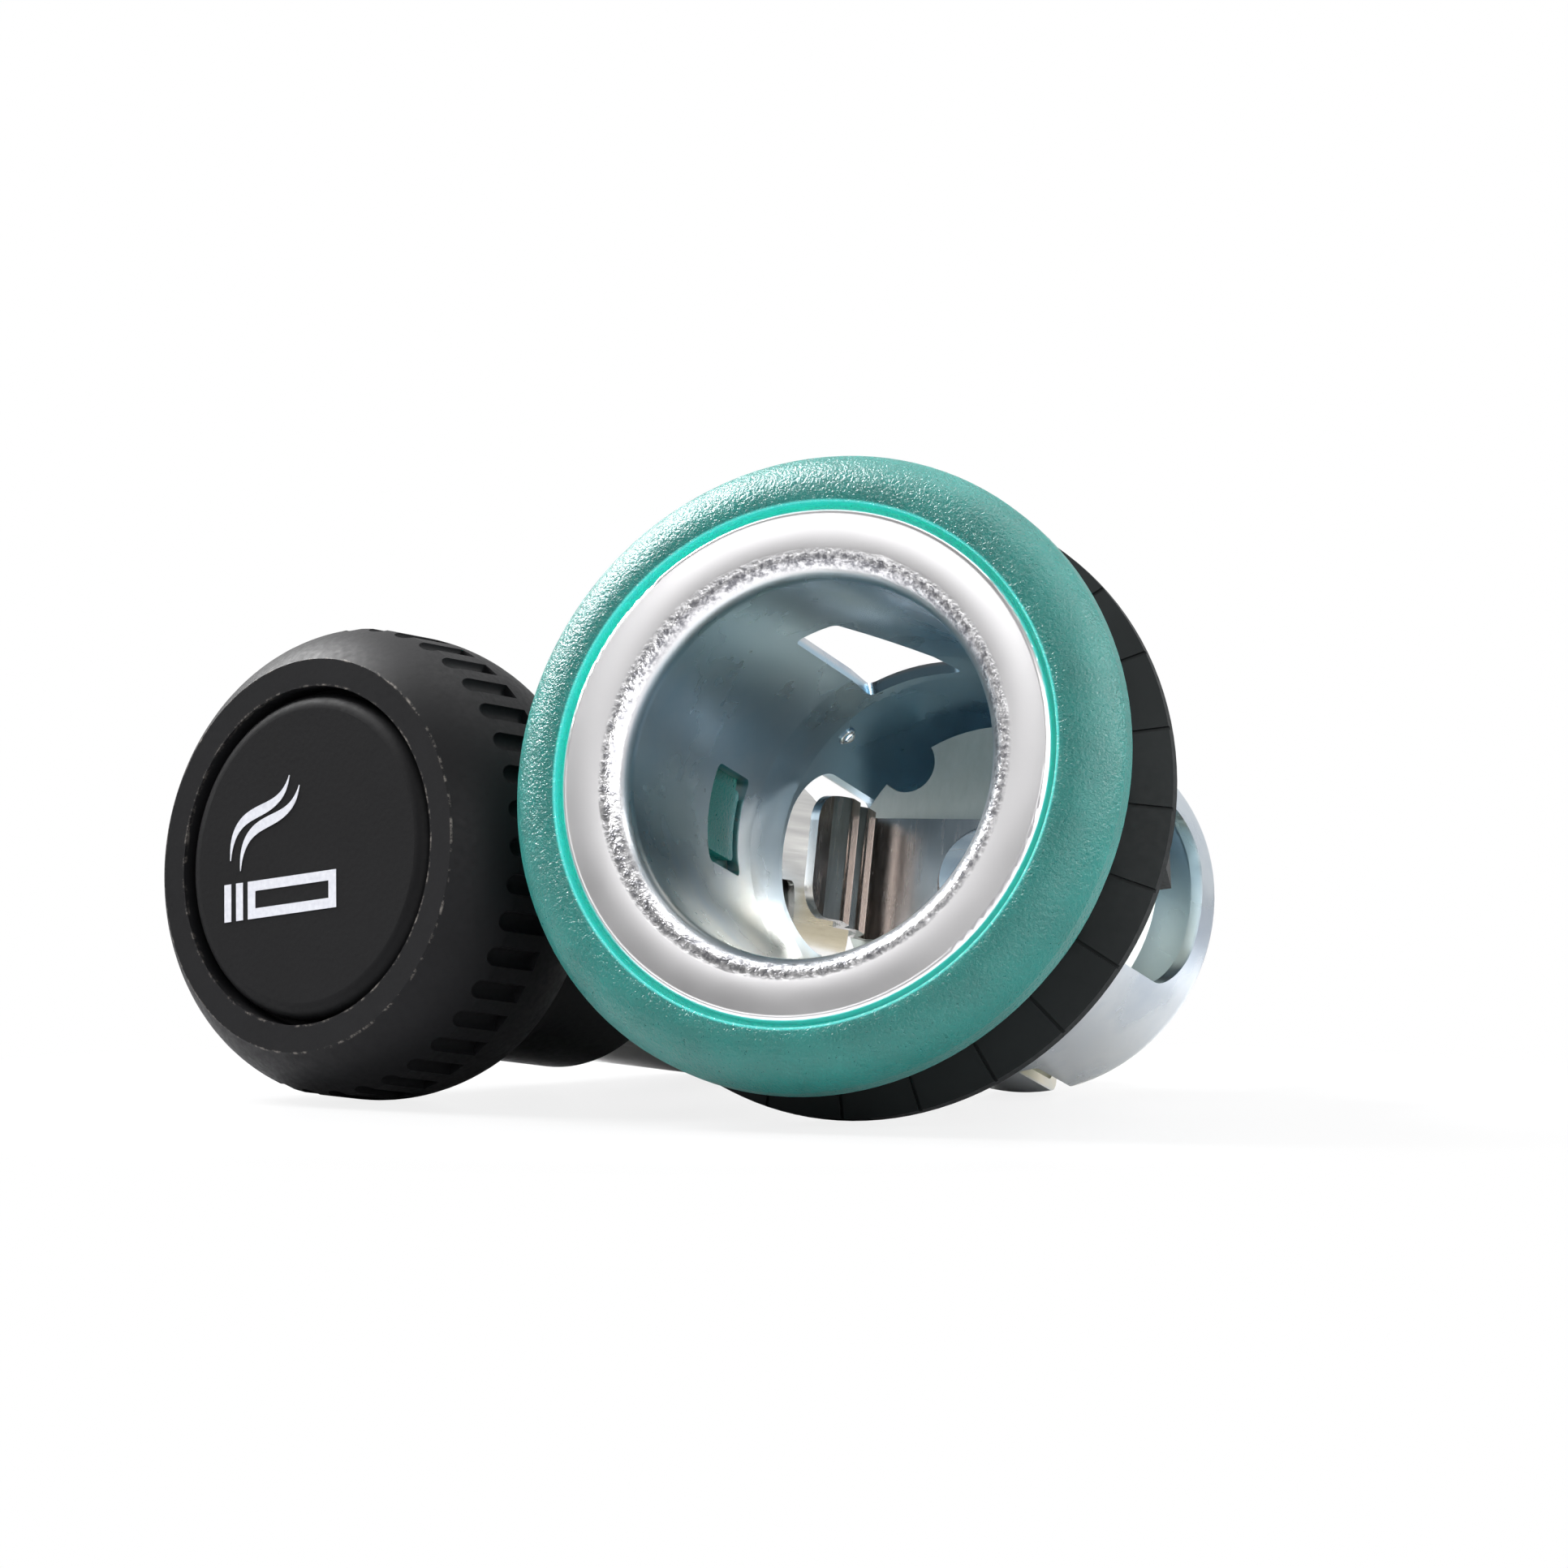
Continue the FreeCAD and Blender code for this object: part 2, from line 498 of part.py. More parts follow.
def centre_rivet():
    """Rivet that clamps the clip, insulators and terminals through the barrel floor."""
    front = CLIP_FLOOR - CLIP_SHEET
    rear = BARREL_LENGTH + TERMINAL_SHEET * 2 + OUTER_INSULATOR_THICKNESS + WASHER_THICKNESS
    dome = RIVET_HEAD_RADIUS - RIVET_HEAD_THICKNESS / 2
    return turned(
        (0.0, front - RIVET_HEAD_THICKNESS),
        (dome, front - RIVET_HEAD_THICKNESS),
        (RIVET_HEAD_RADIUS, front),
        (RIVET_RADIUS, front),
        (RIVET_RADIUS, rear),
        (RIVET_HEAD_RADIUS - SHEET, rear),
        (RIVET_RADIUS, rear + RIVET_HEAD_THICKNESS),
        (0.0, rear + RIVET_HEAD_THICKNESS),
    )


def knob():
    """Moulded knob: cap pocket in front, grip grooves round the rim, hollow back with a boss."""
    back_angle = math.degrees(math.asin(KNOB_BACK_LENGTH / KNOB_BACK_ARC))
    rim_middle = (KNOB_FACE_RADIUS + (KNOB_RADIUS - KNOB_FACE_RADIUS) * KNOB_RIM_REACH,
                  KNOB_SHOULDER * KNOB_RIM_DROP)
    body = turned(
        (0.0, CAP_POCKET_DEPTH),
        (CAP_POCKET_RADIUS, CAP_POCKET_DEPTH),
        (CAP_POCKET_RADIUS, 0.0),
        (KNOB_FACE_RADIUS, 0.0),
        (rim_middle, (KNOB_RADIUS, KNOB_SHOULDER)),
        (KNOB_RADIUS, KNOB_BACK_START),
        corner(KNOB_RADIUS - KNOB_BACK_ARC, KNOB_BACK_START, KNOB_BACK_ARC, 0, -back_angle),
        (KNOB_HOLLOW_RADIUS, KNOB_LENGTH),
        (KNOB_HOLLOW_RADIUS, KNOB_HOLLOW_FLOOR),
        (KNOB_BOSS_RADIUS, KNOB_HOLLOW_FLOOR),
        (KNOB_BOSS_RADIUS, KNOB_HOLLOW_FLOOR + KNOB_BOSS_LENGTH),
        (STEM_RADIUS + FIT_CLEARANCE, KNOB_HOLLOW_FLOOR + KNOB_BOSS_LENGTH),
        (STEM_RADIUS + FIT_CLEARANCE, KNOB_HOLLOW_FLOOR),
        (0.0, KNOB_HOLLOW_FLOOR),
    )
    length = KNOB_BACK_START - GRIP_GROOVE_START - GRIP_GROOVE_RADIUS
    groove = Part.makeCylinder(GRIP_GROOVE_RADIUS, length, point(KNOB_RADIUS, KNOB_BACK_START))
    groove = groove.fuse(Part.makeSphere(GRIP_GROOVE_RADIUS, groove.BoundBox.Center + AXIS * (length / 2)))
    pitch = FULL_TURN / GRIP_GROOVES
    grooves = [around(groove, (i + 0.5) * pitch) for i in range(GRIP_GROOVES)]
    return body.cut(Part.makeCompound(grooves))


def symbol_cap():
    """Round-edged disc pressed into the knob's pocket."""
    front = CAP_POCKET_DEPTH - CAP_THICKNESS
    return turned(
        (0.0, front),
        (CAP_RADIUS - CAP_ROUNDING, front),
        corner(CAP_RADIUS - CAP_ROUNDING, front + CAP_ROUNDING, CAP_ROUNDING, 90, 0),
        (CAP_RADIUS, CAP_POCKET_DEPTH),
        (0.0, CAP_POCKET_DEPTH),
    )


def guard_sleeve():
    """Sleeve that guides the plunger: rounded neck inside the knob, web, seat for the shell."""
    neck_rear = NECK_FRONT + NECK_LENGTH
    web_rear = WEB_FRONT + SLEEVE_WEB
    inner = SLEEVE_RADIUS - SLEEVE_WALL
    bush_hole = BUSH_RADIUS + FIT_CLEARANCE
    end_centre = SLEEVE_REAR - SLEEVE_END_ROUNDING
    return turned(
        (inner, NECK_FRONT),
        (NECK_RADIUS - NECK_ROUNDING, NECK_FRONT),
        corner(NECK_RADIUS - NECK_ROUNDING, NECK_FRONT + NECK_ROUNDING, NECK_ROUNDING, 90, 0),
        (NECK_RADIUS, neck_rear - NECK_ROUNDING),
        (SLEEVE_RADIUS, neck_rear),
        (SLEEVE_RADIUS, end_centre),
        corner(SLEEVE_RADIUS - SLEEVE_END_ROUNDING, end_centre, SLEEVE_END_ROUNDING, 0, -90),
        (SHELL_SEAT_RADIUS, SLEEVE_REAR),
        (SHELL_SEAT_RADIUS, web_rear),
        (bush_hole, web_rear),
        (bush_hole, WEB_FRONT),
        (inner, WEB_FRONT),
    )


def heater_shell():
    """Plated tube round the heating element, seated in the guard sleeve and slotted at its sides."""
    web_rear = WEB_FRONT + SLEEVE_WEB
    inner = SHELL_RADIUS - SHELL_SHEET
    end_centre = SHELL_REAR - SHELL_END_ROUNDING
    tube = turned(
        (inner, web_rear),
        (SHELL_RADIUS, web_rear),
        (SHELL_RADIUS, end_centre),
        corner(SHELL_RADIUS - SHELL_END_ROUNDING, end_centre, SHELL_END_ROUNDING, 0, -90),
        (inner, SHELL_REAR),
    )
    slot_start = SLEEVE_REAR + SHELL_SLOT_START
    for index in range(SHELL_SLOTS):
        angle = index * FULL_TURN / SHELL_SLOTS
        tube = tube.cut(wall_cutter(angle, SHELL_SLOT_WIDTH, slot_start, SHELL_SLOT_LENGTH, SHELL_SLOT_CORNER,
                                    CUP_RADIUS, SLEEVE_RADIUS))
    return tube


def guide_bush():
    """Flanged bush in the sleeve's web that the stem slides through."""
    hole = STEM_RADIUS + STEM_CLEARANCE
    return turned(
        (hole, WEB_FRONT - BUSH_FLANGE),
        (BUSH_FLANGE_RADIUS, WEB_FRONT - BUSH_FLANGE),
        (BUSH_FLANGE_RADIUS, WEB_FRONT),
        (BUSH_RADIUS, WEB_FRONT),
        (BUSH_RADIUS, BUSH_REAR),
        (hole, BUSH_REAR),
    )


def return_spring():
    """Coil spring between the knob and the sleeve's web, at its resting length."""
    wire_radius = SPRING_WIRE / 2
    first = KNOB_HOLLOW_FLOOR + wire_radius
    last = WEB_FRONT - wire_radius
    steps = SPRING_TURNS * SPRING_STEPS_PER_TURN
    points = []
    for index in range(steps + 1):
        depth = first + (last - first) * index / steps
        bend = point(SPRING_RADIUS, depth)
        points.append(around(Part.Vertex(bend), index * FULL_TURN / SPRING_STEPS_PER_TURN).Point)
    section = Part.Wire(Part.makeCircle(wire_radius, points[0], points[1] - points[0]))
    return Part.makePolygon(points).makePipeShell([section], True, False, MITRED_BENDS)


def stem():
    """Steel rod from the knob's boss to the heating cup, stepped at its rear end."""
    return turned(
        (0.0, KNOB_HOLLOW_FLOOR),
        (STEM_RADIUS, KNOB_HOLLOW_FLOOR),
        (STEM_RADIUS, CUP_START - CUP_WASHER_THICKNESS),
        (SPIGOT_RADIUS, CUP_START - CUP_WASHER_THICKNESS),
        (SPIGOT_RADIUS, COIL_REAR),
        (0.0, COIL_REAR),
    )


def stop_washer():
    """Washer on the stem that stops the plunger behind the bush."""
    return ring(STOP_WASHER_RADIUS, STEM_RADIUS, STOP_WASHER_FRONT, STOP_WASHER_THICKNESS)


def cup_washer():
    """Insulating washer between the stem's shoulder and the heating cup."""
    washer = disc(CUP_WASHER_RADIUS, CUP_START - CUP_WASHER_THICKNESS, CUP_WASHER_THICKNESS)
    washer = washer.fuse(disc(CUP_HOLE_RADIUS - FIT_CLEARANCE, CUP_START, CUP_SHEET))
    return washer.cut(disc(SPIGOT_RADIUS + FIT_CLEARANCE, 0, SHELL_REAR))


def heating_cup():
    """Thin cup that the clip grips when the plunger is pressed home."""
    rear = CUP_START + CUP_DEPTH
    lip = CUP_RADIUS + CUP_SHEET
    inner = CUP_RADIUS - CUP_SHEET
    return turned(
        (CUP_HOLE_RADIUS, CUP_START),
        (CUP_RADIUS - CUP_SHEET, CUP_START),
        corner(CUP_RADIUS - CUP_SHEET, CUP_START + CUP_SHEET, CUP_SHEET, 90, 0),
        (CUP_RADIUS, rear - CUP_SHEET),
        (lip, rear - CUP_SHEET),
        (lip, rear),
        (inner, rear),
        (inner, CUP_FLOOR_REAR),
        (CUP_HOLE_RADIUS, CUP_FLOOR_REAR),
    )


def coil_plate():
    """Ceramic plate under the heating coil."""
    return ring(COIL_PLATE_RADIUS, SPIGOT_RADIUS + FIT_CLEARANCE, CUP_FLOOR_REAR, COIL_PLATE_THICKNESS)


def heating_coil():
    """Flat ribbon wound as a spiral of half circles, standing on the ceramic plate."""
    inner_edges = []
    outer_edges = []
    for turn in range(COIL_HALF_TURNS):
        radius = COIL_INNER_RADIUS + turn * COIL_PITCH / 2
        centre = FreeCAD.Vector(COIL_PITCH / 2 * (turn % 2), 0, -COIL_REAR)
        first_angle = 180.0 * (turn % 2)
        for edges, size in ((inner_edges, radius), (outer_edges, radius + COIL_RIBBON)):
            edges.append(Part.makeCircle(size, centre, AXIS, first_angle, first_angle + 180.0))
    inner = Part.Wire(inner_edges)
    outer = Part.Wire(outer_edges)
    face = ribbon_face(inner, outer)
    return face.extrude(FreeCAD.Vector(0, 0, COIL_HEIGHT))


def ribbon_face(inner, outer):
    """Face between two open lines that start and end side by side."""
    first, last = inner.OrderedVertexes[0].Point, inner.OrderedVertexes[-1].Point
    outer_first, outer_last = outer.OrderedVertexes[0].Point, outer.OrderedVertexes[-1].Point
    start = Part.LineSegment(first, outer_first).toShape()
    end = Part.LineSegment(last, outer_last).toShape()
    edges = Part.sortEdges(inner.Edges + outer.Edges + [start, end])[0]
    return Part.Face(Part.Wire(edges))


def coil_rivet():
    """Sleeve on the stem's spigot that holds the coil's inner end."""
    return ring(COIL_INNER_RADIUS - FIT_CLEARANCE, SPIGOT_RADIUS, COIL_FRONT, COIL_HEIGHT)


def rest_tilt(front, rear):
    """Tilt of an axis lying on two rounded rims, each (depth, radius of centre, rounding)."""
    along = rear[0] - front[0]
    drop = front[1] - rear[1]
    extra = math.asin((front[2] - rear[2]) / math.hypot(along, drop))
    return math.atan2(drop, along) + extra


def lay_down(shape, tilt, front_rim, yaw, right, back):
    """Tip a half about its front so that it rests on the floor, then turn and place it."""
    height = front_rim[0] * math.sin(tilt) + front_rim[1] * math.cos(tilt) + front_rim[2]
    laid = shape.copy()
    laid.rotate(ORIGIN, FreeCAD.Vector(1, 0, 0), 90.0 - math.degrees(tilt))
    laid.rotate(ORIGIN, AXIS, -yaw)
    laid.translate(FreeCAD.Vector(right, back, height))
    return laid


SOCKET_FRONT_RIM = (COLLAR_EDGE_DEPTH + COLLAR_THICKNESS / 2, COLLAR_RADIUS, 0.0)
SOCKET_REAR_RIM = (BARREL_LENGTH - REAR_ROUNDING, REAR_BARREL_RADIUS - REAR_ROUNDING, REAR_ROUNDING)
SOCKET_TILT = rest_tilt(SOCKET_FRONT_RIM, SOCKET_REAR_RIM)
PLUG_FRONT_RIM = (KNOB_BACK_START, KNOB_RADIUS - KNOB_BACK_ARC, KNOB_BACK_ARC)
PLUG_REAR_RIM = (SHELL_REAR - SHELL_END_ROUNDING, SHELL_RADIUS - SHELL_END_ROUNDING, SHELL_END_ROUNDING)
PLUG_TILT = rest_tilt(PLUG_FRONT_RIM, PLUG_REAR_RIM)

SOCKET_PIECES = (socket_barrel, lens_ring, mounting_collar, inner_insulator, bimetal_clip, outer_insulator,
                 ground_terminal, positive_terminal, rivet_washer, centre_rivet)
PLUG_PIECES = (knob, symbol_cap, guard_sleeve, heater_shell, guide_bush, return_spring, stem, stop_washer,
               cup_washer, heating_cup, coil_plate, heating_coil, coil_rivet)


def place_socket(shape):
    return lay_down(shape, SOCKET_TILT, SOCKET_FRONT_RIM, 0.0, 0.0, 0.0)


def place_plug(shape):
    """Put the plug so that the middle of its knob stands at its named place."""
    reach = PLUG_REFERENCE_DEPTH * math.cos(PLUG_TILT)
    turn = math.radians(PLUG_YAW)
    right = PLUG_RIGHT - reach * math.sin(turn)
    back = PLUG_BACK - reach * math.cos(turn)
    return lay_down(shape, PLUG_TILT, PLUG_FRONT_RIM, PLUG_YAW, right, back)


def assembly():
    """Every piece in its place, with the middle of the whole set's footprint at the origin."""
    pieces = {make.__name__: place_socket(make()) for make in SOCKET_PIECES}
    pieces.update({make.__name__: place_plug(make()) for make in PLUG_PIECES})
    box = Part.makeCompound(list(pieces.values())).optimalBoundingBox(False)
    shift = FreeCAD.Vector(-box.Center.x, -box.Center.y, 0)
    for shape in pieces.values():
        shape.translate(shift)
    return pieces, shift


PIECES, SHIFT = assembly()
os.makedirs("parts", exist_ok=True)
for name, shape in PIECES.items():
    shape.exportStep("parts/" + name + ".step")
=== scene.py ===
import bpy
import json
import math
from collections import namedtuple
from mathutils import Matrix, Vector


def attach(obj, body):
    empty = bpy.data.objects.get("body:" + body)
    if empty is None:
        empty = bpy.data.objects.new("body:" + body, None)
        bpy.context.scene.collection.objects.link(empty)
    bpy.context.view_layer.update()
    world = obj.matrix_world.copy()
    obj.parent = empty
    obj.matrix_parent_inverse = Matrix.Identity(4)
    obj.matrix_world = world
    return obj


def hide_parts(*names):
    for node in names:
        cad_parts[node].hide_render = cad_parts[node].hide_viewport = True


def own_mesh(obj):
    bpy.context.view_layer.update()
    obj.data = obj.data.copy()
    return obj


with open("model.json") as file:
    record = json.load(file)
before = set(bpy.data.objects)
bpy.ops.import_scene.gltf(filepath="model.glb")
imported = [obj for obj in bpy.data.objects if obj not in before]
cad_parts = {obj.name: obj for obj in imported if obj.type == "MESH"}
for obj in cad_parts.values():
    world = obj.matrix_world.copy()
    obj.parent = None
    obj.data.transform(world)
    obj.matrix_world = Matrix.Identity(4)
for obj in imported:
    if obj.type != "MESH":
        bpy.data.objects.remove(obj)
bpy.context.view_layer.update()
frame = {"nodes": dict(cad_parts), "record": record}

# Car cigarette lighter: finishes of the socket and the plug, sign, spring, torn lip, light and camera.
# Lengths are metres. Each half has its own axis frame: x right, y up, z out of its front.

MM = 0.001
UP = Vector((0, 0, 1))
FULL_TURN = 2 * math.pi
WHITE = (1, 1, 1, 1)
RAMP_MIDDLE = 0.5
SOCKET_BODY = "socket_and_sleeve"
PLUG_BODY = "plunger"

# Painted sign on the knob's cap, measured from the cap's centre
PAINT_THICKNESS = 0.03 * MM
SIGN_TURN = math.radians(7.3)
SIGN_LEFT = -4.55 * MM
SIGN_TOP = -1.05 * MM
SIGN_LENGTH = 6.93 * MM
SIGN_HEIGHT = 2.16 * MM
SIGN_STROKE = 0.58 * MM
SIGN_BARS = 2
SIGN_BAR = 0.53 * MM
SIGN_BAR_PITCH = 0.93 * MM
SMOKE_CURVE = ((-5.92, 0.30), (-5.76, 4.05), (-2.06, 1.95), (-1.24, 4.73))
SMOKE_STEP = (0.78 * MM, -0.66 * MM)
SMOKE_HALF_WIDTH = 0.31 * MM
SMOKE_POINTS = 32
SMOKE_TIP = 0.04
SMOKE_TAPER = 0.8

# Return spring inside the plug
SPRING_RADIUS = 6.0 * MM
SPRING_WIRE_RADIUS = 0.45 * MM
SPRING_TURNS = 5
SPRING_STEPS_PER_TURN = 48
SPRING_SIDES = 12
SPRING_END_PLAY = 0.02 * MM

# Torn lip round the pierced hole inside the barrel
LIP_ANGLE = math.radians(136.0)
LIP_DEPTH = 23.0 * MM
LIP_SEAT = 10.14 * MM
LIP_RADIUS = 0.43 * MM
LIP_TUBE = 0.14 * MM
LIP_WAVE = 0.35
LIP_WAVES = 3
LIP_STEPS = 36
LIP_TUBE_STEPS = 10

# Noise patterns, the range that most of their values lie in, and the stretch that makes streaks
Noise = namedtuple("Noise", "scale detail roughness")
ZINC_CLOUD = Noise(130.0, 4.0, 0.60)
ZINC_GRAIN = Noise(2800.0, 2.0, 0.65)
LENS_CLOUD = Noise(260.0, 3.0, 0.55)
LENS_GRAIN = Noise(4600.0, 2.0, 0.70)
PLASTIC_CLOUD = Noise(140.0, 3.0, 0.55)
PLASTIC_GRAIN = Noise(2600.0, 2.0, 0.60)
CAP_GRAIN = Noise(3200.0, 2.0, 0.60)
WEAR_PATCHES = Noise(1300.0, 4.0, 0.75)
INK_MOTTLE = Noise(3500.0, 3.0, 0.55)
METAL_STREAK = Noise(900.0, 4.0, 0.60)
CLIP_STREAK = Noise(2600.0, 4.0, 0.60)
BOARD_FIBRES = Noise(1500.0, 5.0, 0.70)
NOISE_RANGE = (0.3, 0.7)
STREAK_RANGE = (0.32, 0.68)
EVEN = (1, 1, 1)
ALONG = (1.0, 1.0, 0.08)
ACROSS = (0.08, 1.0, 1.0)
CLIP_STRETCH = (1.0, 0.10, 1.0)
BOARD_STRETCH = (1.0, 0.35, 1.0)

# Zinc plated barrel: tints of the bore and the outside, satin flange with a faint dish, grainy rolled edge
BORE_EDGE = (10.70 * MM, 10.95 * MM)
BORE_TINT_REACH = 10.0 * MM
BORE_HEIGHT_SHARE = 0.6
BORE_CLOUD_SHARE = 0.4
BORE_TINTS = ((0.22, (0.80, 0.76, 0.64)), (0.40, (0.60, 0.68, 0.72)), (0.70, (0.36, 0.54, 0.67)))
SHELL_TINTS = ((0.36, (0.42, 0.50, 0.60)), (0.56, (0.62, 0.66, 0.70)))
BARREL_ROUGHNESS = (0.24, 0.32)
FLANGE_FRONT = (-1.2 * MM, -0.5 * MM)
FLANGE_COLOUR = (0.86, 0.85, 0.86)
FLANGE_ROUGHNESS = (0.28, 0.34)
FLANGE_DISH_REACH = (12.0 * MM, 14.2 * MM)
FLANGE_DISH = 0.20 * MM
GRAIN_RADIUS = 11.4 * MM
GRAIN_HALF_WIDTH = 0.60 * MM
GRAIN_HEIGHT = 0.10 * MM
GRAIN_FULL = 0.5
GRAIN_TINTS = ((0.38, (0.28, 0.28, 0.30)), (0.62, FLANGE_COLOUR))

# Light ring: frosted green with a painted highlight and a faint painted glow in its recess round the
# flange
LENS_DARK = (0.001, 0.21, 0.185)
LENS_LIGHT = (0.002, 0.275, 0.243)
LENS_ROUGHNESS = (0.27, 0.40)
LENS_GRAIN_HEIGHT = 0.12 * MM
LENS_TRANSMISSION = 0.40
LENS_IOR = 1.49
LENS_SPECULAR = 0.80
LENS_SUBSURFACE = 0.7
LENS_SUBSURFACE_DEPTH = 3.0 * MM
LENS_SUBSURFACE_SPREAD = (0.25, 1.0, 0.9)
LENS_FACE = (-1.4 * MM, -1.0 * MM)
LENS_RECESS_RADIUS = 14.60 * MM
LENS_HIGHLIGHT_WIDTH = 0.12 * MM
LENS_PAINTED_HIGHLIGHT = (0.10, 0.90, 0.80)
LENS_PAINTED_GLOW_COLOUR = (0.06, 0.85, 0.74, 1.0)
LENS_PAINTED_GLOW = 0.16

# Moulded black plastics
Plastic = namedtuple("Plastic", "colour roughness grain bump")
COLLAR_PLASTIC = Plastic((0.0080, 0.0095, 0.0098), (0.46, 0.58), PLASTIC_GRAIN, 0.18)
KNOB_PLASTIC = Plastic((0.0055, 0.0055, 0.0062), (0.48, 0.62), PLASTIC_GRAIN, 0.18)
CAP_PLASTIC = Plastic((0.0035, 0.0035, 0.0040), (0.52, 0.64), CAP_GRAIN, 0.25)
SLEEVE_PLASTIC = Plastic((0.0060, 0.0060, 0.0065), (0.40, 0.50), PLASTIC_GRAIN, 0.18)
PLASTIC_LIGHTER = 1.35
PLASTIC_SPECULAR = 0.14
PLASTIC_GRAIN_HEIGHT = 0.04 * MM

# Worn pale lines at the two edges of the knob's face
KNOB_RIM_RADIUS = 11.22 * MM
KNOB_POCKET_RADIUS = 9.70 * MM
WEAR_HALF_WIDTH = 0.09 * MM
WEAR_FRONT = (-0.30 * MM, -0.12 * MM)
WEAR_BREAKS = (0.50, 0.64)
WEAR_COLOUR = (0.17, 0.155, 0.14)

# White ink of the sign
INK_DARK = (0.52, 0.53, 0.58)
INK_LIGHT = (0.62, 0.63, 0.67)
INK_ROUGHNESS = (0.45, 0.60)

# Bare metals
Metal = namedtuple("Metal", "dark light roughness")
STEEL = Metal((0.55, 0.56, 0.58), (0.72, 0.73, 0.74), (0.18, 0.30))
SPRING_STEEL = Metal((0.50, 0.51, 0.53), (0.66, 0.67, 0.68), (0.22, 0.34))
TORN_STEEL = Metal((0.62, 0.64, 0.66), (0.82, 0.83, 0.84), (0.16, 0.26))
CUP_STEEL = Metal((0.58, 0.58, 0.57), (0.76, 0.75, 0.73), (0.18, 0.30))
PLATED_BRASS = Metal((0.54, 0.48, 0.34), (0.66, 0.60, 0.46), (0.20, 0.32))
PLUG_BRASS = Metal((0.70, 0.64, 0.48), (0.84, 0.78, 0.62), (0.20, 0.32))
RIBBON = Metal((0.22, 0.20, 0.19), (0.40, 0.37, 0.35), (0.35, 0.50))
METAL_BUMP = 0.06
METAL_STREAK_HEIGHT = 0.03 * MM

# Clip strip: browned inside and bright outside, told apart by where a face looks
CLIP_BROWNED = ((0.20, 0.155, 0.13), (0.30, 0.25, 0.22))
CLIP_BRIGHT = ((0.62, 0.62, 0.63), (0.76, 0.76, 0.76))
CLIP_ROUGHNESS = (0.20, 0.30)
CLIP_MIDDLE = 1.0 * MM
CLIP_OUTER_FACING = (-0.2, 0.3)

# Insulating boards
Board = namedtuple("Board", "dark light")
FIBRE = Board((0.74, 0.79, 0.74), (0.84, 0.88, 0.84))
BROWN_FIBRE = Board((0.44, 0.36, 0.26), (0.56, 0.47, 0.36))
CERAMIC = Board((0.72, 0.70, 0.64), (0.84, 0.82, 0.76))
BOARD_ROUGHNESS = (0.55, 0.75)
BOARD_BUMP = 0.2
BOARD_FIBRE_HEIGHT = 0.05 * MM

# Floor: paler paper under the object, and how much of it shows as plain white
FLOOR_SIZE = 3.0
FLOOR_FADE = (45 * MM, 75 * MM)
FLOOR_NEAR = (0.55, 0.55, 0.56)
FLOOR_FAR = (0.22, 0.22, 0.23)
FLOOR_ROUGHNESS = 0.30
FLOOR_SPECULAR = 0.35
FLOOR_WHITE = (0.83, 1.0)
FLOOR_WHITE_FULL = 0.5

# Room: which way it gets lighter, and the light on the viewer's side and on the far side
ROOM_RISE = 0.25
ROOM_FALL = (-0.40, 0.55)
ROOM_LIGHT = (0.05, 0.80)

# Soft boxes: place, width and height, and watts
Lamp = namedtuple("Lamp", "place size power")
LAMPS = {
    "top_box": Lamp((0.05, 0.10, 0.60), (0.50, 0.50), 2.2),
    "left_box": Lamp((-0.46, 0.08, 0.44), (0.30, 0.22), 10.0),
    "flange_box": Lamp((-0.22, -0.50, 0.175), (0.24, 0.10), 0.24),
    "front_box": Lamp((0.14, -0.49, 0.26), (0.16, 0.10), 0.6),
    "front_right_box": Lamp((0.44, -0.36, 0.20), (0.50, 0.40), 2.4),
    "right_box": Lamp((0.55, 0.16, 0.30), (0.25, 0.40), 3.2),
}
LAMP_AIM = Vector((0.0, 0.0, 15 * MM))

# Photograph's view: the camera's place from the middle of the socket's mouth, its height and its turns
PHOTO_PIXELS = 1932.0
FOCAL_PIXELS = 8250.0
SENSOR_WIDTH = 36.0
CAMERA_RIGHT = 140.0 * MM
CAMERA_FRONT = 331.0 * MM
CAMERA_HEIGHT = 24.9 * MM
CAMERA_TURN = math.radians(23.08)
CAMERA_PITCH = math.radians(-1.02)
CAMERA_NEAR = 0.01
CAMERA_FAR = 20.0

MOUNTS = {mount["name"]: mount for mount in frame["record"]["mounts"]}


def reach(node, origin, direction):
    """How far a CAD node reaches from the origin along a direction."""
    return max(direction.dot(vertex.co - origin) for vertex in frame["nodes"][node].data.vertices)


def axis_frame(mount, front, node):
    """Axis frame of one half, from a mount on its axis and the node that reaches its front."""
    z_axis = Vector(front).normalized()
    x_axis = (-z_axis).cross(UP).normalized()
    y_axis = z_axis.cross(x_axis)
    start = Vector(mount["pos_m"])
    matrix = Matrix((x_axis, y_axis, z_axis)).transposed().to_4x4()
    matrix.translation = start + z_axis * reach(node, start, z_axis)
    return matrix


SOCKET = axis_frame(MOUNTS["plug_bore"], MOUNTS["plug_bore"]["axis"], "socket_barrel")
PLUG = axis_frame(MOUNTS["plug_sleeve"], -Vector(MOUNTS["plug_sleeve"]["axis"]), "knob")


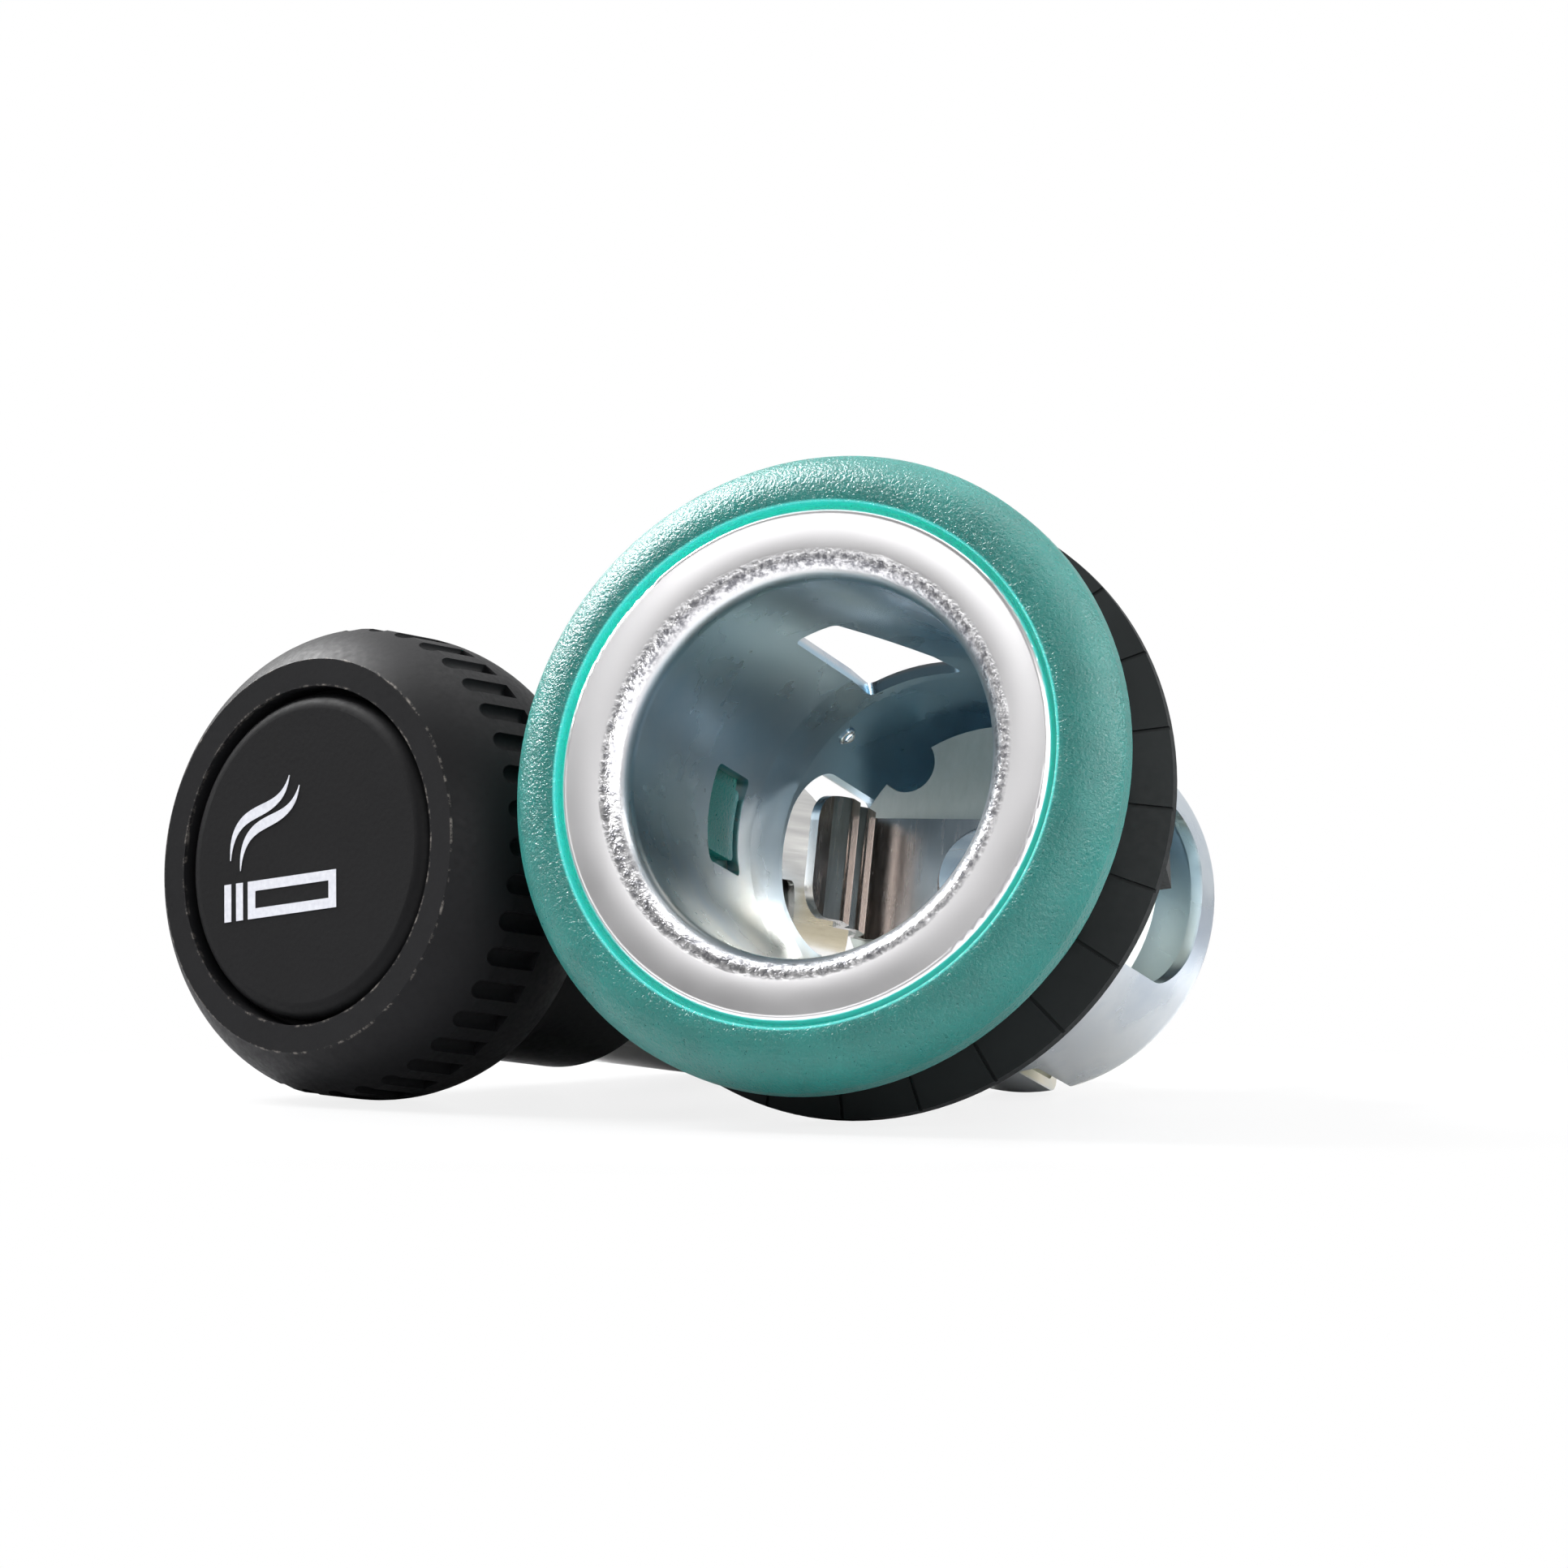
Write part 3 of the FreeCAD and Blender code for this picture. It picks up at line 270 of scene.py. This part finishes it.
class Nodes:
    """A node tree with short calls for the nodes used here."""

    def __init__(self, tree):
        self.tree = tree

    def node(self, kind, **settings):
        made = self.tree.nodes.new(kind)
        for key, value in settings.items():
            setattr(made, key, value)
        return made

    def link(self, source, target):
        self.tree.links.new(source, target)

    def span(self, source, low, high, out_low=0.0, out_high=1.0):
        """The source mapped from low..high to out_low..out_high and held there."""
        made = self.node("ShaderNodeMapRange")
        made.inputs["From Min"].default_value = low
        made.inputs["From Max"].default_value = high
        made.inputs["To Min"].default_value = out_low
        made.inputs["To Max"].default_value = out_high
        self.link(source, made.inputs["Value"])
        return made.outputs["Result"]

    def math(self, operation, *values):
        """An operation on one or two values, each a number or a node's output."""
        made = self.node("ShaderNodeMath", operation=operation)
        for socket, value in zip(made.inputs, values):
            if isinstance(value, (int, float)):
                socket.default_value = value
            else:
                self.link(value, socket)
        return made.outputs["Value"]

    def product(self, first, *others):
        for other in others:
            first = self.math("MULTIPLY", first, other)
        return first

    def along(self, vector, direction):
        """How far a vector runs along a direction."""
        made = self.node("ShaderNodeVectorMath", operation="DOT_PRODUCT")
        made.inputs[1].default_value = direction
        self.link(vector, made.inputs[0])
        return made.outputs["Value"]


class Shader(Nodes):
    """A material's node tree round its surface shader."""

    def __init__(self, name):
        self.material = bpy.data.materials.new(name)
        self.material.use_nodes = True
        super().__init__(self.material.node_tree)
        self.surface = self.tree.nodes["Principled BSDF"]

    def set(self, **values):
        """Constants on the surface's own sockets, named with underscores for spaces."""
        for key, value in values.items():
            self.surface.inputs[key.replace("_", " ")].default_value = value

    def feed(self, source, name):
        self.link(source, self.surface.inputs[name])

    def place(self, half=None):
        """Coordinates of the piece itself, or of the half that it belongs to."""
        here = self.node("ShaderNodeTexCoord").outputs["Object"]
        if half is None:
            return here
        inverse = half.inverted()
        mapping = self.node("ShaderNodeMapping")
        mapping.inputs["Rotation"].default_value = inverse.to_euler()
        mapping.inputs["Location"].default_value = inverse.translation
        self.link(here, mapping.inputs["Vector"])
        return mapping.outputs["Vector"]

    def axis(self, place, name):
        made = self.node("ShaderNodeSeparateXYZ")
        self.link(place, made.inputs["Vector"])
        return made.outputs[name]

    def radius(self, place):
        """Distance of a place from the z axis."""
        x = self.axis(place, "X")
        y = self.axis(place, "Y")
        squares = self.math("ADD", self.product(x, x), self.product(y, y))
        return self.math("SQRT", squares)

    def noise(self, place, pattern, stretch=EVEN):
        if stretch != EVEN:
            mapping = self.node("ShaderNodeMapping")
            mapping.inputs["Scale"].default_value = stretch
            self.link(place, mapping.inputs["Vector"])
            place = mapping.outputs["Vector"]
        made = self.node("ShaderNodeTexNoise")
        made.inputs["Scale"].default_value = pattern.scale
        made.inputs["Detail"].default_value = pattern.detail
        made.inputs["Roughness"].default_value = pattern.roughness
        self.link(place, made.inputs["Vector"])
        return made.outputs["Fac"]

    def vary(self, noise, limits):
        """A value that goes between two limits with a noise pattern."""
        return self.span(noise, *NOISE_RANGE, *limits)

    def ramp(self, source, stops):
        """Colour of the source's value, from stops of a value and a colour."""
        made = self.node("ShaderNodeValToRGB")
        elements = made.color_ramp.elements
        while len(elements) < len(stops):
            elements.new(RAMP_MIDDLE)
        for element, (position, colour) in zip(elements, stops):
            element.position = position
            element.color = (*colour, 1.0)
        self.link(source, made.inputs["Fac"])
        return made.outputs["Color"]

    def mottle(self, noise, colours, limits=NOISE_RANGE):
        """A colour that goes from a dark to a light one with a noise pattern."""
        return self.ramp(noise, tuple(zip(limits, colours)))

    def band(self, value, middle, half_width):
        """1 where the value is at the middle, falling to 0 at half_width to each side."""
        away = self.math("ABSOLUTE", self.math("SUBTRACT", value, middle))
        return self.span(away, 0.0, half_width, 1.0, 0.0)

    def between(self, fac, first, second):
        """Value between two nodes' outputs."""
        made = self.node("ShaderNodeMix", data_type="FLOAT")
        self.link(fac, made.inputs["Factor"])
        self.link(first, made.inputs["A"])
        self.link(second, made.inputs["B"])
        return made.outputs["Result"]

    def blend(self, fac, first, second):
        """Colour between first and second, each a colour or a node's output."""
        made = self.node("ShaderNodeMix", data_type="RGBA")
        self.link(fac, made.inputs["Factor"])
        for socket, value in ((made.inputs["A"], first), (made.inputs["B"], second)):
            if isinstance(value, tuple):
                socket.default_value = (*value, 1.0)
            else:
                self.link(value, socket)
        return made.outputs["Result"]

    def bump(self, height, strength=1.0, distance=1.0):
        """Raise the surface by a height in metres, or in shares of the distance."""
        made = self.node("ShaderNodeBump")
        made.inputs["Strength"].default_value = strength
        made.inputs["Distance"].default_value = distance
        self.link(height, made.inputs["Height"])
        self.feed(made.outputs["Normal"], "Normal")


def barrel_tint(shader, place, radius, cloud):
    """Plating that goes from straw to blue up the bore, and is clouded on the outside."""
    height = shader.span(shader.axis(place, "Y"), -BORE_TINT_REACH, BORE_TINT_REACH)
    height_part = shader.product(height, BORE_HEIGHT_SHARE)
    cloud_part = shader.product(cloud, BORE_CLOUD_SHARE)
    bore = shader.ramp(shader.math("ADD", height_part, cloud_part), BORE_TINTS)
    shell = shader.ramp(cloud, SHELL_TINTS)
    inside = shader.span(radius, *BORE_EDGE, 1.0, 0.0)
    return shader.blend(inside, shell, bore)


def zinc_steel():
    """Zinc plated sheet: satin flange, grainy rolled edge at the mouth, blue and straw tints inside."""
    shader = Shader("zinc_steel")
    place = shader.place(SOCKET)
    radius = shader.radius(place)
    cloud = shader.noise(place, ZINC_CLOUD)
    grain = shader.noise(place, ZINC_GRAIN)
    front = shader.span(shader.axis(place, "Z"), *FLANGE_FRONT)
    edge = shader.product(shader.band(radius, GRAIN_RADIUS, GRAIN_HALF_WIDTH), front)
    speckle = shader.ramp(grain, GRAIN_TINTS)
    flange = shader.blend(shader.span(edge, 0.0, GRAIN_FULL), FLANGE_COLOUR, speckle)
    barrel = barrel_tint(shader, place, radius, cloud)
    shader.feed(shader.blend(front, barrel, flange), "Base Color")
    smooth = shader.vary(cloud, BARREL_ROUGHNESS)
    satin = shader.vary(cloud, FLANGE_ROUGHNESS)
    shader.feed(shader.between(front, smooth, satin), "Roughness")
    shader.set(Metallic=1.0)
    rise = shader.span(radius, *FLANGE_DISH_REACH)
    dish = shader.product(rise, rise, FLANGE_DISH)
    peel = shader.product(grain, edge, GRAIN_HEIGHT)
    shader.bump(shader.math("ADD", peel, dish))
    return shader.material


def light_ring():
    """Frosted translucent green moulding with a painted highlight and a faint painted glow in its recess
    round the flange.
    """
    shader = Shader("light_ring")
    place = shader.place(SOCKET)
    cloud = shader.noise(place, LENS_CLOUD)
    grain = shader.noise(place, LENS_GRAIN)
    green = shader.mottle(cloud, (LENS_DARK, LENS_LIGHT))
    face = shader.span(shader.axis(place, "Z"), *LENS_FACE)
    # Painted highlight and faint painted glow on the recess edge round the flange
    highlight_edge = LENS_RECESS_RADIUS + LENS_HIGHLIGHT_WIDTH
    recess = shader.span(shader.radius(place), LENS_RECESS_RADIUS, highlight_edge, 1.0, 0.0)
    painted_highlight = shader.product(recess, face)
    shader.feed(shader.blend(painted_highlight, green, LENS_PAINTED_HIGHLIGHT), "Base Color")
    shader.set(Emission_Color=LENS_PAINTED_GLOW_COLOUR)
    shader.feed(shader.product(painted_highlight, LENS_PAINTED_GLOW), "Emission Strength")
    shader.feed(shader.vary(grain, LENS_ROUGHNESS), "Roughness")
    shader.set(Transmission_Weight=LENS_TRANSMISSION, IOR=LENS_IOR, Specular_IOR_Level=LENS_SPECULAR)
    shader.set(Subsurface_Weight=LENS_SUBSURFACE, Subsurface_Scale=LENS_SUBSURFACE_DEPTH)
    shader.set(Subsurface_Radius=LENS_SUBSURFACE_SPREAD)
    shader.bump(grain, distance=LENS_GRAIN_HEIGHT)
    return shader.material


def plastic_shader(name, half, plastic):
    """Black plastic with a fine matt grain: its shader, coordinates and colour, for further touches."""
    shader = Shader(name)
    place = shader.place(half)
    lighter = tuple(channel * PLASTIC_LIGHTER for channel in plastic.colour)
    tone = shader.mottle(shader.noise(place, PLASTIC_CLOUD), (plastic.colour, lighter))
    shader.feed(tone, "Base Color")
    grain = shader.noise(place, plastic.grain)
    shader.feed(shader.vary(grain, plastic.roughness), "Roughness")
    shader.set(Specular_IOR_Level=PLASTIC_SPECULAR)
    shader.bump(grain, plastic.bump, PLASTIC_GRAIN_HEIGHT)
    return shader, place, tone


def black_plastic(name, half, plastic):
    """Moulded black plastic without wear."""
    shader, _, _ = plastic_shader(name, half, plastic)
    return shader.material


def worn_knob():
    """Knob plastic with broken pale lines at the edges of its face."""
    shader, place, tone = plastic_shader("knob_plastic", PLUG, KNOB_PLASTIC)
    radius = shader.radius(place)
    rim = shader.band(radius, KNOB_RIM_RADIUS, WEAR_HALF_WIDTH)
    pocket = shader.band(radius, KNOB_POCKET_RADIUS, WEAR_HALF_WIDTH)
    edges = shader.math("MAXIMUM", rim, pocket)
    front = shader.span(shader.axis(place, "Z"), *WEAR_FRONT)
    broken = shader.span(shader.noise(place, WEAR_PATCHES), *WEAR_BREAKS)
    worn = shader.product(edges, front, broken)
    shader.feed(shader.blend(worn, tone, WEAR_COLOUR), "Base Color")
    return shader.material


def sign_paint():
    """White pad-printed ink with a faint mottle."""
    shader = Shader("sign_paint")
    mottle = shader.noise(shader.place(PLUG), INK_MOTTLE)
    shader.feed(shader.mottle(mottle, (INK_DARK, INK_LIGHT)), "Base Color")
    shader.feed(shader.vary(mottle, INK_ROUGHNESS), "Roughness")
    return shader.material


def rolled_metal(name, half, metal, stretch=EVEN):
    """Bare metal with rolling or turning streaks."""
    shader = Shader(name)
    streak = shader.noise(shader.place(half), METAL_STREAK, stretch)
    shader.feed(shader.mottle(streak, (metal.dark, metal.light), STREAK_RANGE), "Base Color")
    shader.feed(shader.vary(streak, metal.roughness), "Roughness")
    shader.set(Metallic=1.0)
    shader.bump(streak, METAL_BUMP, METAL_STREAK_HEIGHT)
    return shader.material


def bimetal_strip():
    """Springy strip: heat-browned on its inner faces, bright on its outer faces."""
    shader = Shader("bimetal")
    place = shader.place(SOCKET)
    normal = shader.node("ShaderNodeTexCoord").outputs["Normal"]
    rightward = shader.along(normal, SOCKET.col[0].to_3d())
    side = shader.span(shader.axis(place, "X"), -CLIP_MIDDLE, CLIP_MIDDLE, -1.0, 1.0)
    outer = shader.span(shader.product(rightward, side), *CLIP_OUTER_FACING)
    streak = shader.noise(place, CLIP_STREAK, CLIP_STRETCH)
    browned = shader.mottle(streak, CLIP_BROWNED, STREAK_RANGE)
    bright = shader.mottle(streak, CLIP_BRIGHT, STREAK_RANGE)
    shader.feed(shader.blend(outer, browned, bright), "Base Color")
    shader.feed(shader.vary(streak, CLIP_ROUGHNESS), "Roughness")
    shader.set(Metallic=1.0)
    return shader.material


def pressed_board(name, half, board):
    """Dull insulating board with mottled fibres."""
    shader = Shader(name)
    fibres = shader.noise(shader.place(half), BOARD_FIBRES, BOARD_STRETCH)
    shader.feed(shader.mottle(fibres, (board.dark, board.light)), "Base Color")
    shader.feed(shader.vary(fibres, BOARD_ROUGHNESS), "Roughness")
    shader.bump(fibres, BOARD_BUMP, BOARD_FIBRE_HEIGHT)
    return shader.material


def finishes():
    """The finish of every CAD node."""
    fibre = pressed_board("fibre", SOCKET, FIBRE)
    plated = rolled_metal("plated_brass", SOCKET, PLATED_BRASS, ALONG)
    steel = rolled_metal("bright_steel", SOCKET, STEEL, ACROSS)
    plug_steel = rolled_metal("plug_steel", PLUG, STEEL, ACROSS)
    cup = rolled_metal("cup_steel", PLUG, CUP_STEEL, ALONG)
    return {
        "socket_barrel": zinc_steel(),
        "lens_ring": light_ring(),
        "mounting_collar": black_plastic("collar_plastic", SOCKET, COLLAR_PLASTIC),
        "inner_insulator": fibre,
        "bimetal_clip": bimetal_strip(),
        "outer_insulator": fibre,
        "ground_terminal": plated,
        "positive_terminal": plated,
        "rivet_washer": steel,
        "centre_rivet": steel,
        "knob": worn_knob(),
        "symbol_cap": black_plastic("cap_plastic", PLUG, CAP_PLASTIC),
        "guard_sleeve": black_plastic("sleeve_plastic", PLUG, SLEEVE_PLASTIC),
        "guide_bush": rolled_metal("plug_brass", PLUG, PLUG_BRASS, ALONG),
        "heater_shell": cup,
        "return_spring": plug_steel,
        "stem": plug_steel,
        "stop_washer": plug_steel,
        "cup_washer": pressed_board("plug_fibre", PLUG, BROWN_FIBRE),
        "heating_cup": cup,
        "coil_plate": pressed_board("ceramic", PLUG, CERAMIC),
        "heating_coil": rolled_metal("resistance_ribbon", PLUG, RIBBON, ACROSS),
        "coil_rivet": plug_steel,
    }


def dress_nodes():
    """Give every CAD node its finish."""
    materials = finishes()
    for name, node in frame["nodes"].items():
        node.data.materials.clear()
        node.data.materials.append(materials[name])


def add_piece(name, verts, faces, place, material):
    """Put a mesh into the scene at the place that a matrix gives."""
    mesh = bpy.data.meshes.new(name)
    mesh.from_pydata(verts, [], faces)
    mesh.transform(place)
    mesh.materials.append(material)
    piece = bpy.data.objects.new(name, mesh)
    bpy.context.collection.objects.link(piece)
    return piece


def plate(outlines, thickness):
    """Vertices and faces of flat closed plates, each from one outline of (x, y) points."""
    verts = []
    faces = []
    for outline in outlines:
        first = len(verts)
        count = len(outline)
        verts += [(x, y, thickness) for x, y in outline]
        verts += [(x, y, 0.0) for x, y in outline]
        for i in range(count):
            j = (i + 1) % count
            faces.append((first + j, first + i, first + count + i, first + count + j))
        faces += strip_faces(first, count, False)
        faces += strip_faces(first + count, count, True)
    return verts, faces


def strip_faces(first, count, flip):
    """Quads that fill an outline whose two sides run side by side from its first point."""
    faces = []
    for i in range(count // 2 - 1):
        quad = (first + i, first + i + 1, first + count - 2 - i, first + count - 1 - i)
        faces.append(tuple(reversed(quad)) if flip else quad)
    return faces


def bar(left, bottom, width, height):
    """A rectangle as two sides that run side by side upwards."""
    right = left + width
    top = bottom + height
    return [(right, bottom), (right, top), (left, top), (left, bottom)]


def smoke(shift):
    """One curl of smoke: a Bezier curve thickened in its middle."""
    start, leave, arrive, end = [Vector(p) * MM for p in SMOKE_CURVE]
    right = []
    left = []
    for i in range(SMOKE_POINTS + 1):
        t = i / SMOKE_POINTS
        s = 1.0 - t
        here = start * s ** 3 + leave * 3 * s * s * t + arrive * 3 * s * t * t + end * t ** 3
        run = (leave - start) * s * s + (arrive - leave) * 2 * s * t + (end - arrive) * t * t
        run.normalize()
        half = SMOKE_HALF_WIDTH * max(math.sin(math.pi * t), SMOKE_TIP) ** SMOKE_TAPER
        side = Vector((run.y, -run.x)) * half
        middle = here + Vector(shift)
        right.append(tuple(middle + side))
        left.append(tuple(middle - side))
    return right + left[::-1]


def cigarette_sign():
    """The common lighter sign: a cigarette in outline, two ash bars and two curls of smoke."""
    bottom = SIGN_TOP - SIGN_HEIGHT
    inner_bottom = bottom + SIGN_STROKE
    inner_height = SIGN_HEIGHT - 2 * SIGN_STROKE
    outlines = [
        bar(SIGN_LEFT, bottom, SIGN_LENGTH, SIGN_STROKE),
        bar(SIGN_LEFT, SIGN_TOP - SIGN_STROKE, SIGN_LENGTH, SIGN_STROKE),
        bar(SIGN_LEFT, inner_bottom, SIGN_STROKE, inner_height),
        bar(SIGN_LEFT + SIGN_LENGTH - SIGN_STROKE, inner_bottom, SIGN_STROKE, inner_height),
    ]
    for index in range(1, SIGN_BARS + 1):
        outlines.append(bar(SIGN_LEFT - index * SIGN_BAR_PITCH, bottom, SIGN_BAR, SIGN_HEIGHT))
    outlines.append(smoke((0.0, 0.0)))
    outlines.append(smoke(SMOKE_STEP))
    verts, faces = plate(outlines, PAINT_THICKNESS)
    cap_face = reach("symbol_cap", PLUG.translation, PLUG.col[2].to_3d())
    turn = Matrix.Translation((0, 0, cap_face)) @ Matrix.Rotation(SIGN_TURN, 4, "Z")
    sign = add_piece("cigarette_sign", verts, faces, PLUG @ turn, sign_paint())
    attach(sign, PLUG_BODY)


def wire_ring(radius, wire_radius, turn, height, sides):
    """Points round a wire that runs round the z axis, at one turn of its way."""
    points = []
    for i in range(sides):
        roll = FULL_TURN * i / sides
        out = radius + wire_radius * math.cos(roll)
        points.append((out * math.cos(turn), out * math.sin(turn), height + wire_radius * math.sin(roll)))
    return points


def wire_faces(rings, sides, closed):
    """Outward faces of a wire of so many rings, joined end to end or else capped."""
    faces = []
    for i in range(rings if closed else rings - 1):
        near = i * sides
        far = (i + 1) % rings * sides
        for j in range(sides):
            beside = (j + 1) % sides
            faces.append((near + j, far + j, far + beside, near + beside))
    if not closed:
        last = (rings - 1) * sides
        faces.append(tuple(range(sides)))
        faces.append(tuple(reversed(range(last, last + sides))))
    return faces


def return_spring():
    """Smooth round-wire coil spring that takes the CAD spring's place."""
    forward = PLUG.col[2].to_3d()
    front = reach("return_spring", PLUG.translation, forward) - SPRING_END_PLAY
    rear = -reach("return_spring", PLUG.translation, -forward) + SPRING_END_PLAY
    first = front - SPRING_WIRE_RADIUS
    last = rear + SPRING_WIRE_RADIUS
    steps = SPRING_TURNS * SPRING_STEPS_PER_TURN
    verts = []
    for i in range(steps + 1):
        turn = FULL_TURN * i / SPRING_STEPS_PER_TURN
        height = first + (last - first) * i / steps
        verts += wire_ring(SPRING_RADIUS, SPRING_WIRE_RADIUS, turn, height, SPRING_SIDES)
    faces = wire_faces(steps + 1, SPRING_SIDES, closed=False)
    spring = add_piece("coil_spring", verts, faces, PLUG, rolled_metal("spring_steel", PLUG, SPRING_STEEL))
    spring.data.shade_smooth()
    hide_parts("return_spring")
    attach(spring, SOCKET_BODY)
    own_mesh(spring)


def pierced_lip():
    """The raised, torn edge that the piercing punch left inside the barrel."""
    verts = []
    for i in range(LIP_STEPS):
        turn = FULL_TURN * i / LIP_STEPS
        tube = LIP_TUBE * (1.0 + LIP_WAVE * math.sin(LIP_WAVES * turn))
        verts += wire_ring(LIP_RADIUS, tube, turn, 0.0, LIP_TUBE_STEPS)
    faces = wire_faces(LIP_STEPS, LIP_TUBE_STEPS, closed=True)
    outward = Vector((math.cos(LIP_ANGLE), math.sin(LIP_ANGLE), 0.0))
    spot = Matrix.Translation(outward * LIP_SEAT + Vector((0, 0, -LIP_DEPTH)))
    place = SOCKET @ spot @ outward.to_track_quat("Z", "Y").to_matrix().to_4x4()
    lip = add_piece("pierced_lip", verts, faces, place, rolled_metal("torn_steel", SOCKET, TORN_STEEL))
    lip.data.shade_smooth()
    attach(lip, SOCKET_BODY)


def floor_paper():
    """Paper that keeps the object's shadow near it and shows as plain white further away."""
    shader = Shader("floor_paper")
    shader.set(Roughness=FLOOR_ROUGHNESS, Specular_IOR_Level=FLOOR_SPECULAR)
    away = shader.span(shader.radius(shader.place()), *FLOOR_FADE)
    shader.feed(shader.blend(away, FLOOR_NEAR, FLOOR_FAR), "Base Color")
    white = shader.node("ShaderNodeEmission")
    white.inputs["Color"].default_value = WHITE
    rays = shader.node("ShaderNodeLightPath")
    seen = shader.math("MAXIMUM", rays.outputs["Is Camera Ray"], rays.outputs["Is Transmission Ray"])
    share = shader.product(seen, shader.span(away, 0.0, FLOOR_WHITE_FULL, *FLOOR_WHITE))
    mix = shader.node("ShaderNodeMixShader")
    shader.link(share, mix.inputs["Fac"])
    shader.link(shader.surface.outputs["BSDF"], mix.inputs[1])
    shader.link(white.outputs["Emission"], mix.inputs[2])
    shader.link(mix.outputs["Shader"], shader.tree.nodes["Material Output"].inputs["Surface"])
    return shader.material


def floor():
    """A wide white floor."""
    size = FLOOR_SIZE
    corners = [(-size, -size, 0), (size, -size, 0), (size, size, 0), (-size, size, 0)]
    made = add_piece("floor", corners, [(0, 1, 2, 3)], Matrix(), floor_paper())


def white_room():
    """A white room that is dimmer on the viewer's side, as round a studio table."""
    world = bpy.data.worlds.new("white_room")
    bpy.context.scene.world = world
    world.use_nodes = True
    nodes = Nodes(world.node_tree)
    background = nodes.tree.nodes["Background"]
    background.inputs["Color"].default_value = WHITE
    far_side = (-math.sin(CAMERA_TURN), math.cos(CAMERA_TURN), ROOM_RISE)
    outlook = nodes.node("ShaderNodeTexCoord").outputs["Generated"]
    light = nodes.span(nodes.along(outlook, far_side), *ROOM_FALL, *ROOM_LIGHT)
    seen = nodes.node("ShaderNodeLightPath").outputs["Is Camera Ray"]
    nodes.link(nodes.math("MAXIMUM", light, seen), background.inputs["Strength"])


def soft_box(name, lamp):
    """A rectangular soft box that looks at the object."""
    data = bpy.data.lights.new(name, "AREA")
    data.shape = "RECTANGLE"
    data.size, data.size_y = lamp.size
    data.energy = lamp.power
    box = bpy.data.objects.new(name, data)
    box.location = lamp.place
    box.rotation_euler = (LAMP_AIM - Vector(lamp.place)).to_track_quat("-Z", "Y").to_euler()
    bpy.context.collection.objects.link(box)


def studio_light():
    """Soft boxes above the set, in front of it and at both sides."""
    for name, lamp in LAMPS.items():
        soft_box(name, lamp)


def photo_camera():
    """The photograph's view of the set, from low in front of it."""
    data = bpy.data.cameras.new("photo_camera")
    data.sensor_width = SENSOR_WIDTH
    data.lens = FOCAL_PIXELS / PHOTO_PIXELS * SENSOR_WIDTH
    data.clip_start = CAMERA_NEAR
    data.clip_end = CAMERA_FAR
    camera = bpy.data.objects.new("photo_camera", data)
    mouth = SOCKET.translation
    camera.location = (mouth.x + CAMERA_RIGHT, mouth.y - CAMERA_FRONT, CAMERA_HEIGHT)
    camera.rotation_euler = (math.pi / 2 + CAMERA_PITCH, 0.0, CAMERA_TURN)
    bpy.context.collection.objects.link(camera)
    bpy.context.scene.camera = camera


dress_nodes()
cigarette_sign()
return_spring()
pierced_lip()
floor()
white_room()
studio_light()
photo_camera()
bpy.context.scene.view_settings.view_transform = "Standard"
